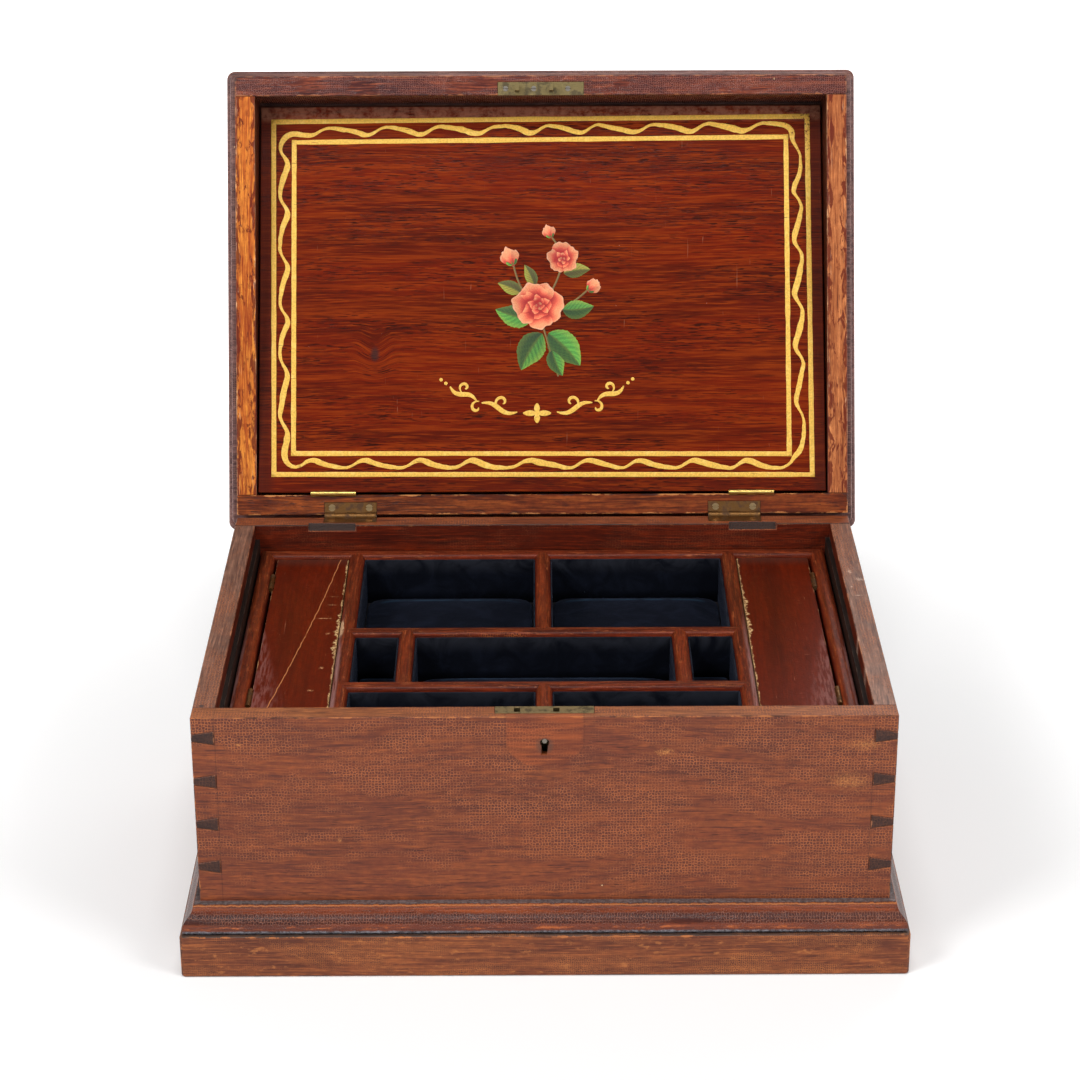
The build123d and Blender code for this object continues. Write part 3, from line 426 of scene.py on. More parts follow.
# The woods. Colours are as on a screen, from 0 to 255. The figure, the rim (faces that look up) and the faces
# inside the hollow have a light, a middle and a dark, the end grain and the worn edge a light and a dark. The
# stain has a colour, the size of its drifts and its amount, the grain its bands, ribbons, strands and pores.
FINISHES = {
    "case": dict(
        figure=((160, 86, 46), (128, 64, 40), (78, 42, 36)),
        rim=((184, 112, 64), (150, 86, 48), (84, 46, 32)),
        inner=((128, 42, 14), (94, 28, 10), (50, 15, 8)),
        end=((60, 41, 36), (36, 26, 25)), edge=((184, 112, 64), (60, 36, 30)), edge_width=0.0011,
        stain=((82, 42, 36), 0.010, 0.22), grain=(0.45, 0.55, 0.85, 0.65),
        craze=0.52, cell=0.00165, net=(192, 116, 72), hollow=(88, 47, 41), rough=0.46, coat=0.05, shine=0.2,
    ),
    "plinth": dict(
        figure=((180, 104, 56), (126, 66, 40), (76, 40, 32)),
        rim=((110, 84, 72), (84, 64, 56), (48, 38, 34)),
        end=((110, 70, 48), (64, 40, 32)), edge=((190, 114, 62), (74, 44, 34)), edge_width=0.0014,
        stain=((190, 118, 66), 0.0034, 0.42), grain=(0.45, 0.55, 0.75, 0.50),
        craze=0.50, cell=0.0011, net=(198, 122, 68), hollow=(88, 48, 38), rough=0.5, coat=0.04, shine=0.22,
    ),
    "lid head": dict(
        figure=((160, 86, 46), (126, 62, 38), (76, 40, 32)),
        rim=((168, 86, 54), (104, 46, 36), (50, 24, 26)),
        inner=((104, 42, 18), (82, 28, 13), (48, 18, 11)),
        end=((84, 52, 40), (50, 32, 28)), edge=((176, 108, 66), (60, 34, 30)), edge_width=0.0016,
        stain=((62, 26, 28), 0.004, 0.5), grain=(0.8, 0.6, 0.8, 0.9),
        craze=0.56, cell=0.0013, net=(140, 84, 72), hollow=(66, 30, 32), rough=0.24, coat=0.35, shine=0.35,
        bump=1.0,
    ),
    "lid side": dict(
        figure=((160, 86, 46), (126, 62, 38), (76, 40, 32)),
        rim=((244, 158, 62), (204, 108, 40), (132, 46, 18)),
        inner=((118, 54, 24), (92, 38, 17), (52, 22, 12)),
        end=((96, 60, 40), (52, 34, 28)), edge=((226, 168, 118), (76, 30, 20)), edge_width=0.0013,
        stain=((108, 30, 14), 0.0035, 0.55), grain=(0.9, 0.6, 0.9, 0.6),
        craze=0.34, cell=0.0022, net=(150, 54, 22), hollow=(122, 36, 16), rough=0.30, coat=0.3, shine=0.22,
    ),
    "lid foot": dict(
        figure=((160, 86, 46), (126, 62, 38), (76, 40, 32)),
        rim=((170, 86, 36), (112, 46, 20), (44, 18, 13)),
        inner=((90, 36, 16), (66, 24, 11), (36, 15, 9)),
        end=((84, 52, 40), (50, 32, 28)), edge=((206, 134, 76), (60, 34, 30)), edge_width=0.0014,
        stain=((60, 24, 18), 0.006, 0.45), grain=(1.0, 0.7, 0.7, 0.8),
        craze=0.30, cell=0.0018, net=(110, 50, 28), hollow=(70, 28, 18), rough=0.30, coat=0.25, shine=0.22,
    ),
    "top board": dict(
        figure=((156, 82, 46), (120, 60, 38), (68, 36, 30)),
        rim=((156, 116, 106), (116, 78, 72), (60, 36, 38)),
        inner=((146, 84, 50), (112, 58, 34), (64, 32, 22)), inner_face=True,
        end=((172, 128, 120), (84, 50, 48)), edge=((190, 158, 152), (46, 32, 38)), edge_width=0.0015,
        stain=((60, 34, 38), 0.010, 0.35), grain=(0.8, 0.6, 0.7, 0.7),
        craze=0.50, cell=0.0013, net=(142, 98, 80), hollow=(68, 38, 36), rough=0.40, coat=0.08, shine=0.25,
    ),
    "till": dict(
        figure=((148, 54, 22), (104, 34, 15), (54, 18, 11)),
        rim=((150, 64, 30), (104, 38, 19), (54, 22, 14)),
        end=((84, 50, 38), (48, 28, 24)), edge=((168, 88, 54), (52, 24, 20)), edge_width=0.0014,
        stain=((60, 22, 16), 0.006, 0.4), grain=(0.7, 0.5, 0.6, 0.7),
        craze=0.42, cell=0.0013, net=(186, 104, 54), hollow=(62, 24, 17), rough=0.36, coat=0.03, shine=0.09,
    ),
    "side lid": dict(
        figure=((108, 36, 13), (90, 27, 9), (58, 18, 8)),
        rim=((116, 36, 12), (94, 26, 8), (62, 17, 7)),
        end=((90, 54, 38), (50, 30, 24)), edge=((206, 156, 108), (46, 20, 14)), edge_width=0.0007,
        stain=((62, 20, 10), 0.03, 0.4), grain=(0.7, 0.35, 0.25, 0.3),
        craze=0.12, cell=0.0020, net=(118, 66, 60), hollow=(66, 22, 14), rough=0.34, coat=0.0, shine=0.06,
    ),
    "lining": dict(
        figure=((70, 44, 30), (46, 28, 20), (28, 18, 14)),
        rim=((44, 30, 24), (28, 19, 16), (17, 12, 11)),
        end=((96, 66, 44), (50, 34, 26)), edge=((82, 64, 54), (20, 14, 12)), edge_width=0.0005,
        stain=((30, 20, 16), 0.01, 0.4), grain=(0.6, 0.4, 0.3, 0.5),
        craze=0.0, cell=0.0015, net=(60, 40, 30), hollow=(40, 26, 20), rough=0.6, coat=0.0, shine=0.2,
    ),
    "plain": dict(
        figure=((150, 104, 66), (118, 76, 48), (78, 48, 32)),
        rim=((150, 104, 66), (118, 76, 48), (78, 48, 32)),
        end=((120, 84, 56), (76, 50, 36)), edge=((150, 110, 76), (70, 44, 32)), edge_width=0.001,
        stain=((90, 58, 40), 0.02, 0.4), grain=(0.8, 0.5, 0.6, 0.6),
        craze=0.0, cell=0.0015, net=(118, 76, 48), hollow=(118, 76, 48), rough=0.7, coat=0.0, shine=0.3,
    ),
}

FINISHES["case end"] = dict(
    FINISHES["case"],
    rim=((164, 118, 96), (124, 86, 68), (72, 48, 42)),
    edge=((176, 118, 84), (64, 44, 38)),
)
FINISHES["case back"] = dict(FINISHES["case"], rim=((162, 86, 44), (126, 60, 32), (72, 36, 24)))
FINISHES["lid right side"] = dict(
    FINISHES["lid side"],
    rim=((224, 142, 86), (178, 102, 58), (108, 48, 26)),
    stain=((98, 34, 18), 0.0040, 0.50),
)
FINISHES["till floor"] = dict(FINISHES["plain"], rim=((34, 30, 36), (24, 22, 28), (16, 15, 20)))
# How far the figure of a board wavers, in metres
WAVER = 0.012


def tones(colours):
    """Screen colours in the shader's scale."""
    return [tone(*colour) for colour in colours]


def board_surface(g, finish, place, normal, low, high, offset, hollow):
    """Colour, roughness and height of an old varnished board: its figure, its crazing and its worn edges."""
    end_light, end_dark = tones(finish["end"])
    edge_light, edge_dark = tones(finish["edge"])
    shifted = place + offset
    ends, _, out = g.split(normal)
    rim = g.rise(out, 0.6, 0.8)
    pairs = zip(tones(finish["figure"]), tones(finish["rim"]))
    shades = [g.mix(rim, *pair) for pair in pairs]
    inside = 0.0
    if "inner" in finish:
        middle, half = hollow
        x, y, _ = g.split(abs(place - middle) - half)
        inside = g.fall(g.math("MAXIMUM", x, y), 0.0, 0.0002)
        if "inner_face" not in finish:
            inside = inside * (1.0 - rim)
        shades = [g.mix(inside, *pair) for pair in zip(shades, tones(finish["inner"]))]
    figure = g.group("Mahogany Figure", shifted, *shades, WAVER, *finish["grain"])
    mottle = g.rise(g.noise(shifted * (0.5, 1.0, 1.0), 330.0, 5.0, 0.7), 0.36, 0.62)
    colour = g.mix(mottle * 0.35, figure["Color"], shades[2])
    end = g.rise(abs(ends), 0.6, 0.8)
    dots = g.noise(shifted, 800.0, 4.0, 0.75)
    colour = g.mix(end * 0.92, colour, g.mix(g.rise(dots, 0.4, 0.62), end_dark, end_light))
    flat = g.group("Flat Coordinates", shifted, normal)
    craze = g.group("Crazed Varnish", flat, finish["cell"], finish["craze"])
    dulled = 1.0 - g.math("MAXIMUM", end, inside) * 0.8
    lines = craze["Lines"] * dulled
    cells = craze["Cells"] * dulled
    colour = g.mix(cells * 0.72, colour, tone(*finish["hollow"]))
    colour = g.mix(lines * 0.66, colour, tone(*finish["net"]))
    stain, drift, amount = finish["stain"]
    blots = g.group("Grime", shifted * (0.5, 1.0, 1.0), drift, amount)
    colour = g.mix(blots * dulled * 0.7, colour, tone(*stain))
    dirt = g.group("Grime", shifted, 0.05, 0.40)
    colour = g.mix(dirt * 0.45, colour, g.mix(1.0, colour, (0.56, 0.52, 0.54), "MULTIPLY"))
    wear = g.group("Edge Wear", place, low, high, finish["edge_width"])
    chipped = g.rise(g.noise(shifted * (60.0, 200.0, 200.0), 1.0, 3.0), 0.42, 0.56)
    colour = g.mix(wear * 0.8, colour, g.mix(chipped, edge_dark, edge_light))
    specks = g.group("Flecks", shifted, 0.024, 0.22, 0.032)
    colour = g.mix(specks * 0.8, colour, tone(222, 184, 140))
    roughness = finish["rough"] + (lines + wear) * 0.2
    height = cells * 0.8 - figure["Pores"] * 0.6 + g.noise(shifted, 700.0, 3.0) * 0.35
    return colour, roughness, height


def hollow_in(node, matrix):
    """The middle and half size of the hollow that a board of the case or the lid closes, in its frame."""
    half_width, half_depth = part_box("case_right_side")[0][0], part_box("case_back")[0][1]
    if node in bodies["lid"]:
        base, middle = along_lid, Vector((0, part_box("case_back")[1][1], 0))
    else:
        base, middle = along_case, Vector()
    to_board = matrix.inverted() @ base
    centre = to_board @ middle
    corner = to_board.to_3x3() @ Vector((half_width, half_depth, 0))
    return (centre.x, centre.y, 0.0), (abs(corner.x), abs(corner.y), 0.0)


def board_material(node, finish_name, matrix, extra=None):
    """The material of one board, with its figure starting at a place of its own."""
    finish = FINISHES[finish_name]
    low, high = box_in(node, matrix)
    material, g, shader, place, normal = start_material(node, matrix)
    step = sorted(nodes).index(node)
    offset = (0.37 * step, 0.11 * (step % 5), 0.07 * (step % 7))
    hollow = hollow_in(node, matrix)
    colour, roughness, height = board_surface(g, finish, place, normal, tuple(low), tuple(high), offset, hollow)
    if extra:
        colour = extra(g, colour, place, normal)
    shine = {"Coat_Weight": finish["coat"], "Coat_Roughness": 0.2, "Specular_IOR_Level": finish["shine"]}
    finish_surface(g, shader, colour, roughness, height, finish.get("bump", 0.4), **shine)
    return material


def metal_material(name, colour, tarnish, roughness, amount, lower=None):
    """Old metal: bright where it is handled, dull and brown in cloudy patches, with fine scratches.

    A lower colour is given by a height and the colour that the metal has under it.
    """
    material, g, shader, place, _ = start_material(name)
    if lower:
        colour = g.mix(g.split(place)[2] < lower[0], colour, lower[1])
    cloud = g.group("Grime", place, 0.006, amount)
    fine = g.noise(place * (400.0, 2600.0, 2600.0), 1.0, 3.0, 0.6)
    colour = g.mix(g.rise(fine, 0.4, 0.8) * 0.35, colour, tarnish)
    colour = g.mix(cloud * 0.8, colour, tarnish)
    g.feed(shader.inputs["Metallic"], 0.95 - cloud * 0.45)
    rough = roughness + cloud * 0.25
    finish_surface(g, shader, colour, rough, fine + cloud * 0.6, 0.25, 0.0002)
    return material


def velvet_material(name, colour):
    """Velvet: a dark ground, a faint sheen, a pile brushed in drifts, lint and a painted highlight: a lighter
    line on pads' rims.
    """
    material, g, shader, place, _ = start_material(name)
    drift = g.noise(place, 55.0, 3.0, 0.55, 1.2)
    pile = g.noise(place, 3200.0, 2.0, 0.7)
    ground = g.mix(g.rise(drift, 0.40, 0.75), colour, tuple(min(1.0, 2.1 * part) for part in colour))
    ground = g.mix(g.rise(pile, 0.5, 0.8) * 0.4, ground, (0.007, 0.011, 0.021))
    # Painted highlight: a lighter blue line along each pad's upper back edge, from the rim attribute, broken by
    # noise.
    rim = g.add("ShaderNodeAttribute", attribute_name="rim")
    broken = g.rise(g.noise(place, 90.0, 4.0, 0.6), 0.30, 0.60)
    ground = g.mix(rim.outputs["Fac"] * broken * 0.7, ground, (0.028, 0.072, 0.125))
    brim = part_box("velvet_linings")[1][2]
    dusty = g.rise(g.split(place)[2], brim - 0.011, brim - 0.001) * g.rise(drift, 0.25, 0.6)
    ground = g.mix(dusty * 0.55, ground, (0.03, 0.032, 0.041))
    lint = g.group("Flecks", place, 0.0050, 0.16, 0.042)
    ground = g.mix(lint * 0.55, ground, (0.2, 0.3, 0.38))
    sheen = {"Sheen_Weight": 0.075, "Sheen_Roughness": 0.32, "Sheen_Tint": (0.42, 0.52, 0.85, 1)}
    height = pile + drift * 3.0
    finish_surface(g, shader, ground, 0.95, height, 0.6, 0.0004, Specular_IOR_Level=0.05, **sheen)
    return material


# Pieces made from arrays


def grid_piece(name, grid, close_across=False, caps=False):
    """A mesh over a grid of points: rows along the first index, joined across the second one."""
    rows, columns = grid.shape[:2]
    across = columns if close_across else columns - 1
    row, column = np.meshgrid(np.arange(rows - 1), np.arange(across), indexing="ij")
    following = (column + 1) % columns
    here, above = row * columns, (row + 1) * columns
    corners = (here + column, here + following, above + following, above + column)
    faces = np.stack(corners, axis=-1).reshape(-1, 4).tolist()
    if caps:
        faces.append(list(range(columns))[::-1])
        faces.append([(rows - 1) * columns + index for index in range(columns)])
    mesh = bpy.data.meshes.new(name)
    mesh.from_pydata(grid.reshape(-1, 3).tolist(), [], faces)
    mesh.update()
    return linked(name, mesh)


def linked(name, data):
    """A new object with the given data, in the scene."""
    item = bpy.data.objects.new(name, data)
    bpy.context.scene.collection.objects.link(item)
    return item


def outward(piece, close=False):
    """Closes the seams of a piece if asked, turns all its faces outwards and gives it smooth shading."""
    mesh = bmesh.new()
    mesh.from_mesh(piece.data)
    if close:
        bmesh.ops.remove_doubles(mesh, verts=mesh.verts, dist=1e-7)
    bmesh.ops.recalc_face_normals(mesh, faces=mesh.faces)
    mesh.to_mesh(piece.data)
    mesh.free()
    piece.data.shade_smooth()
    return piece


def settle(piece, node, material):
    """Puts a new piece in the place of a CAD node, with its body and its material."""
    give(piece, material)
    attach(piece, next(name for name, members in bodies.items() if node in members))


def give(piece, material):
    """Gives a piece its only material."""
    piece.data.materials.clear()
    piece.data.materials.append(material)


def dress(node, *description):
    """Gives a CAD node that stays a board's material, from its finish, its frame and any further layer."""
    give(nodes[node], board_material(node, *description))


def eased_board(node, name, width, material):
    """A copy of a board whose longer edges are eased with a small bevel, in place of the board."""
    copy = bmesh.new()
    copy.from_mesh(nodes[node].data)
    bmesh.ops.remove_doubles(copy, verts=copy.verts, dist=1e-6)
    bmesh.ops.dissolve_limit(copy, angle_limit=radians(1), verts=copy.verts, edges=copy.edges)
    long_edges = [edge for edge in copy.edges if edge.is_manifold and edge.calc_length() > 8 * width]
    sharp = [edge for edge in long_edges if edge.calc_face_angle() > radians(25)]
    bmesh.ops.bevel(copy, geom=sharp, offset=width, segments=1, affect="EDGES", clamp_overlap=False)
    mesh = bpy.data.meshes.new(name)
    copy.to_mesh(mesh)
    copy.free()
    piece = linked(name, mesh)
    settle(piece, node, material)
    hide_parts(node)


class DressCase(bpy.types.Operator):
    """Dress the four dovetailed boards, the bottom and the linings of the case"""

    bl_idname = "writing_box.case"
    bl_label = "Case"

    def execute(self, context):
        ease = context.scene.box_sizes.edge_ease
        walls = (
            ("case_front", "front_board", "case", along_case, worn_front),
            ("case_back", "back_board", "case back", along_case, painted_notch_shade),
            ("case_left_side", "left_board", "case end", across_case, nail_marks),
            ("case_right_side", "right_board", "case end", across_case, knocked_rim),
        )
        for node, name, *description in walls:
            eased_board(node, name, ease, board_material(node, *description))
        for side in ("left", "right"):
            dress(f"side_lining_{side}", "lining", across_case)
        dress("case_bottom", "plain", along_case)
        dress("till_bearers", "plain", across_case)
        return {"FINISHED"}


# The front face, the rim, the tops of the side lids, the keyhole's middle and the joints' scribed lines
FRONT_Y, RIM_Z, LID_Z, KEYHOLE_Z, JOINT_X = -0.132, 0.150, 0.1325, 0.1347, 0.1717
# The plate's ghost: half its width, how far it reaches below the keyhole, and how fast it narrows downwards
GHOST_HALF, GHOST_DROP, GHOST_TAPER = 0.0205, 0.0135, 62.0
# Pale knocks: two places, how far each spreads that way, and its strength. The front's run along X and Z
FRONT_MARKS = [
    ((x, FRONT_Y, z), (wide, 1.0, high), amount)
    for x, z, wide, high, amount in (
        (0.0628, 0.1291, 0.0060, 0.0028, 1.00), (-0.1596, 0.1342, 0.0022, 0.0008, 0.95),
        (-0.1083, 0.0775, 0.0018, 0.0018, 0.75), (0.1672, 0.1330, 0.0120, 0.0042, 0.60),
        (0.1590, 0.1115, 0.0130, 0.0070, 0.60),
    )
]


def marks_on_top(level, rows):
    """Knocks in a face that looks up, at a level, along and across a board."""
    return [((along, across, level), (wide, deep, 1.0), amount) for along, across, wide, deep, amount in rows]


RIM_MARKS = marks_on_top(RIM_Z, (
    (0.0500, -0.1765, 0.0045, 0.0018, 0.85), (0.0390, -0.1813, 0.0030, 0.0034, 0.75),
    (0.0288, -0.1756, 0.0018, 0.0010, 0.85), (0.0170, -0.1783, 0.0008, 0.0034, 0.80),
    (-0.0400, -0.1722, 0.0060, 0.0007, 0.90), (-0.0790, -0.1722, 0.0080, 0.0007, 0.80),
))
LID_MARKS = marks_on_top(LID_Z, (
    (0.0446, 0.1218, 0.0008, 0.0034, 0.70), (0.0263, 0.1252, 0.0009, 0.0060, 0.90),
    (0.0060, 0.1216, 0.0018, 0.0016, 0.80), (-0.0378, 0.1225, 0.0018, 0.0014, 1.00),
    (-0.0655, 0.1269, 0.0016, 0.0020, 0.80), (0.0560, 0.1215, 0.0007, 0.0040, 0.40),
))
# The two nail heads, along and across the left side
RIM_NAILS = ((-0.1180, 0.1795), (-0.1255, 0.1805))


def worn_front(g, colour, place, normal):
    """The ghost of a shield-shaped plate round the keyhole, dirt about it, and the joints' scribed lines."""
    x, _, z = g.split(place)
    across = abs(x)
    below = KEYHOLE_Z - z
    taper = g.math("MAXIMUM", below, 0.0) ** 2.0 * GHOST_TAPER
    outside = g.math("MAXIMUM", across - (GHOST_HALF - taper), below - GHOST_DROP)
    outside = outside + (g.noise(place, 300.0, 3.0) - 0.5) * 0.0016
    streaks = g.noise(place * (40.0, 620.0, 620.0), 1.0, 3.0)
    patch = g.mix(g.rise(streaks, 0.38, 0.66), tone(112, 52, 32), tone(176, 88, 44))
    colour = g.mix(g.fall(outside, -0.0022, 0.001) * 0.45, colour, patch)
    rim = g.fall(abs(outside), 0.0002, 0.0007) * g.rise(streaks, 0.36, 0.5)
    colour = g.mix(rim * 0.26, colour, tone(66, 34, 28))
    reach = g.math("LENGTH", place - (0.0, FRONT_Y, KEYHOLE_Z - 0.0015))
    colour = g.mix(g.fall(reach, 0.003, 0.0058) * 0.6, colour, tone(84, 62, 52))
    scribed = g.fall(abs(across - JOINT_X), 0.0001, 0.0004)
    colour = g.mix(scribed * 0.4, colour, tone(60, 34, 30))
    return knocks(g, colour, place, FRONT_MARKS, tone(198, 130, 74))


def knocks(g, colour, place, marks, pale):
    """Pale knocks: ragged specks about each mark, as far as it spreads."""
    for point, spread, amount in marks:
        away = (place - point) * tuple(1 / reach for reach in spread)
        away = g.math("LENGTH", away) + g.noise(place, 900.0, 4.0, 0.75) * 3.2
        specks = 0.35 + g.rise(g.noise(place, 1100.0, 2.0), 0.46, 0.6) * 0.65
        knock = g.fall(away, 1.6, 2.6) * (specks * amount)
        colour = g.mix(knock, colour, pale)
    return colour


def knocked_rim(g, colour, place, normal):
    """Pale knocks in the right side's rim."""
    return knocks(g, colour, place, RIM_MARKS, tone(218, 184, 160))


def painted_notch_shade(g, colour, place, normal):
    """Painted shade: a dark grey-brown laid in the two notches under the flap hinges' barrels."""
    _, y, z = g.split(place)
    notch_y, notch_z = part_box("case_back")[0][1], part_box("case_back")[1][2]
    _, back, up = g.split(normal)
    slope = g.rise(abs(back * up), 0.3, 0.4)
    near = g.fall(y - notch_y + (notch_z - z), 0.0075, 0.008)
    return g.mix(slope * (near * 0.95), colour, tone(36, 20, 14))


def nail_marks(g, colour, place, normal):
    """Two dark nail heads in the rim near its front corner."""
    for along, across in RIM_NAILS:
        reach = g.math("LENGTH", place - (along, across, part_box("case_left_side")[1][2]))
        ragged_reach = reach + g.noise(place, 900.0, 2.0) * 0.0006
        colour = g.mix(g.fall(ragged_reach, 0.0014, 0.002) * 0.85, colour, tone(64, 52, 50))
    return colour


class DressPlinth(bpy.types.Operator):
    """Dress the skirting boards and the moulding above them"""

    bl_idname = "writing_box.plinth"
    bl_label = "Plinth"

    def execute(self, context):
        ease = context.scene.box_sizes.edge_ease
        for side in ("front", "back", "left", "right"):
            node = f"plinth_{side}_board"
            matrix = along_case if side in ("front", "back") else across_case
            eased_board(node, f"{side}_skirting", ease, board_material(node, "plinth", matrix))
        give(nodes["plinth_moulding"], moulding_material())
        return {"FINISHED"}


def moulding_material():
    """Moulding: bands by height over mahogany, with a dusty ledge in painted shade, a worn line, a crackled
    swell and a bead.
    """
    material, g, shader, place, normal = start_material("plinth_moulding", along_case)
    low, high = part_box("plinth_moulding")
    _, _, z = g.split(place)
    figure = g.group("Mahogany Figure", place, *tones(((166, 80, 36), (114, 49, 25), (60, 28, 20))))
    wander = (g.noise(place, 300.0, 4.0, 0.7) - 0.5) * 0.0018
    share = (z + wander - low[2]) / (high[2] - low[2])
    groove = g.fall(share, 0.13, 0.19)
    swell = g.rise(share, 0.34, 0.44) * g.fall(share, 0.62, 0.74)
    bead = g.rise(share, 0.19, 0.26) * g.fall(share, 0.28, 0.36)
    bright = g.rise(share, 0.88, 0.91) * g.fall(share, 0.93, 0.955)
    dust = g.rise(share, 0.945, 0.975)
    flat = g.group("Flat Coordinates", place, normal)
    craze = g.group("Crazed Varnish", flat, 0.0015, 0.60)
    worn = g.rise(g.noise(place * (60.0, 60.0, 400.0), 1.0, 4.0, 0.7), 0.5, 0.62)
    colour = g.mix(swell * 0.78, figure["Color"], tone(46, 26, 27))
    crackle = craze["Lines"] * (0.25 + swell * 0.5)
    colour = g.mix(crackle, colour, tone(142, 88, 66))
    colour = g.mix(g.fall(share, 0.3, 0.4) * 0.6, colour, tone(92, 38, 24))
    colour = g.mix(bead * worn * 0.8, colour, tone(188, 98, 44))
    settled = g.rise(g.noise(place, 520.0, 4.0, 0.7), 0.36, 0.66)
    colour = g.mix(groove * 0.9, colour, g.mix(settled, tone(60, 56, 60), tone(128, 128, 136)))
    colour = g.mix(bright * 0.65, colour, tone(200, 120, 62))
    # The top ledge: grey dust, laid on dark as painted shade.
    colour = g.mix(dust * 0.8, colour, g.mix(settled, tone(62, 56, 56), tone(106, 100, 100)))
    rough = 0.3 + dust * 0.4
    height = craze["Cells"] * 1.2 + g.noise(place, 600.0, 3.0) * 0.6
    shine = {"Coat_Weight": 0.14, "Coat_Roughness": 0.2, "Specular_IOR_Level": 0.3}
    finish_surface(g, shader, colour, rough, height, 0.6, **shine)
    return material


class DressLid(bpy.types.Operator):
    """Dress the four rails and the top board of the lid"""

    bl_idname = "writing_box.lid"
    bl_label = "Lid"

    def execute(self, context):
        ease = context.scene.box_sizes.edge_ease
        rails = (
            ("front", "lid head", along_lid),
            ("back", "lid foot", along_lid),
            ("left", "lid side", across_lid),
            ("right", "lid right side", across_lid),
        )
        for side, finish, matrix in rails:
            node = f"lid_{side}_rail"
            extra = varnish_runs(node, matrix) if side in ("left", "right") else None
            eased_board(node, f"{side}_rail", ease, board_material(node, finish, matrix, extra))
        dress("lid_top_board", "top board", along_lid)
        return {"FINISHED"}


def varnish_runs(node, matrix):
    """A layer for a side rail of the lid: dark red runs of varnish along its edges and thin scratches."""
    low, high = box_in(node, matrix)
    middle, half = (low[1] + high[1]) / 2, (high[1] - low[1]) / 2

    def layer(g, colour, place, normal):
        _, y, _ = g.split(place)
        near = abs(y - float(middle)) / float(half)
        runs = g.noise(place * (85.0, 330.0, 330.0), 1.0, 4.0, 0.62, 0.8)
        level = 0.6 - g.rise(near, 0.15, 0.85) * 0.15
        runs = g.rise(runs, level, level + 0.05)
        face = g.rise(g.split(normal)[2], 0.6, 0.8)
        colour = g.mix(runs * face * 0.85, colour, tone(98, 28, 16))
        scratches = g.noise(place * (60.0, 1500.0, 1500.0), 1.0, 3.0, 0.7, 0.5)
        scratches = g.rise(scratches, 0.62, 0.7) * g.rise(near, 0.3, 0.8)
        return g.mix(scratches * face * 0.65, colour, tone(232, 192, 158))

    return layer


# The knot in the flap, in its frame
KNOT = (-0.101, 0.085, 0.0)
# Waver, bands, ribbons, strands, pores and crowd of the flap's figure
FLAP_GRAIN = (0.006, 0.7, 0.55, 0.75, 0.9, 0.55)


def flap_figure(g, place):
    """The flap's dark rust mahogany: figure, a knot, and short black dashes, in the flap's frame."""
    knot = g.math("LENGTH", (place - KNOT) * (1.0, 0.6, 1.0))
    swirl = g.fall(knot, 0.0, 0.014) * 0.006
    bent = place + g.combine(0.0, swirl, 0.0) + (0.9, 0.4, 0.2)
    shades = tones(((144, 54, 8), (109, 26, 3), (62, 14, 4)))
    figure = g.group("Mahogany Figure", bent, *shades, *FLAP_GRAIN)
    stain = g.group("Grime", place, 0.07, 0.5)
    colour = g.mix(stain * 0.35, figure["Color"], tone(92, 24, 12))
    eye = g.fall(knot, 0.001, 0.0036) * 0.8
    return g.mix(eye, colour, tone(54, 36, 34)), figure["Pores"]


def painted_rail_shade(g, place):
    """How near a point of the flap is to its sides, and to its foot and head: masks for the painted shade that
    the lid's rails cast on the flap there.
    """
    low, high = box_in("document_flap", along_flap)
    above = place - tuple(low)
    below = tuple(high) - place
    x, y, _ = g.split(g.math("MINIMUM", above, below))
    return g.fall(x, 0.004, 0.013), g.fall(y, 0.004, 0.013)


def flap_material():
    """Glossy varnish over the flap's figure: painted shade near its edges, dust and painted light at its head,
    light scratches and specks.
    """
    material, g, shader, place, _ = start_material("document_flap", along_flap)
    colour, pores = flap_figure(g, place)
    sides, ends = painted_rail_shade(g, place)
    # Painted shade from the lid's rails: strong along the sides, faint at the foot and head.
    shade = g.math("MAXIMUM", sides * 0.6, ends * 0.12)
    colour = g.mix(shade, colour, tone(58, 22, 14))
    # The head: dust, laid on lighter as painted light against the shade under the lid's front rail.
    head = box_in("document_flap", along_flap)[1][1]
    dusty = g.rise(g.split(place)[1], head - 0.011, head - 0.006)
    dusty = dusty * g.rise(g.noise(place, 160.0, 4.0, 0.7), 0.3, 0.62)
    colour = g.mix(dusty * 0.55, colour, tone(176, 118, 92))
    mist = g.group("Grime", place, 0.03, 0.3)
    beads = g.group("Crazed Varnish", place, 0.0017, 0.50)
    colour = g.mix(mist * beads["Lines"] * 0.35, colour, tone(150, 92, 80))
    slanted = place * (850.0, 50.0, 1.0)
    scratches = g.rise(g.noise(slanted, 1.0, 2.0, 0.6, 0.6), 0.70, 0.76)
    few = g.rise(g.noise(place, 30.0, 2.0), 0.50, 0.62)
    colour = g.mix(scratches * few * 0.4, colour, tone(184, 118, 84))
    for spread in ((0.009, 0.40, 0.036), (0.024, 0.30, 0.030)):
        colour = g.mix(g.group("Flecks", place, *spread) * 0.7, colour, tone(196, 148, 128))
    height = g.noise(place, 420.0, 3.0) - pores
    shine = {"Coat_Weight": 0.12, "Coat_Roughness": 0.08, "Specular_IOR_Level": 0.2}
    finish_surface(g, shader, colour, 0.21, height, 0.10, **shine)
    return material


class DressFlap(bpy.types.Operator):
    """Dress the document flap in glossy varnish"""

    bl_idname = "writing_box.flap"
    bl_label = "Document Flap"

    def execute(self, context):
        eased_board("document_flap", "painted_flap", context.scene.box_sizes.edge_ease, flap_material())
        return {"FINISHED"}


# Painted lines


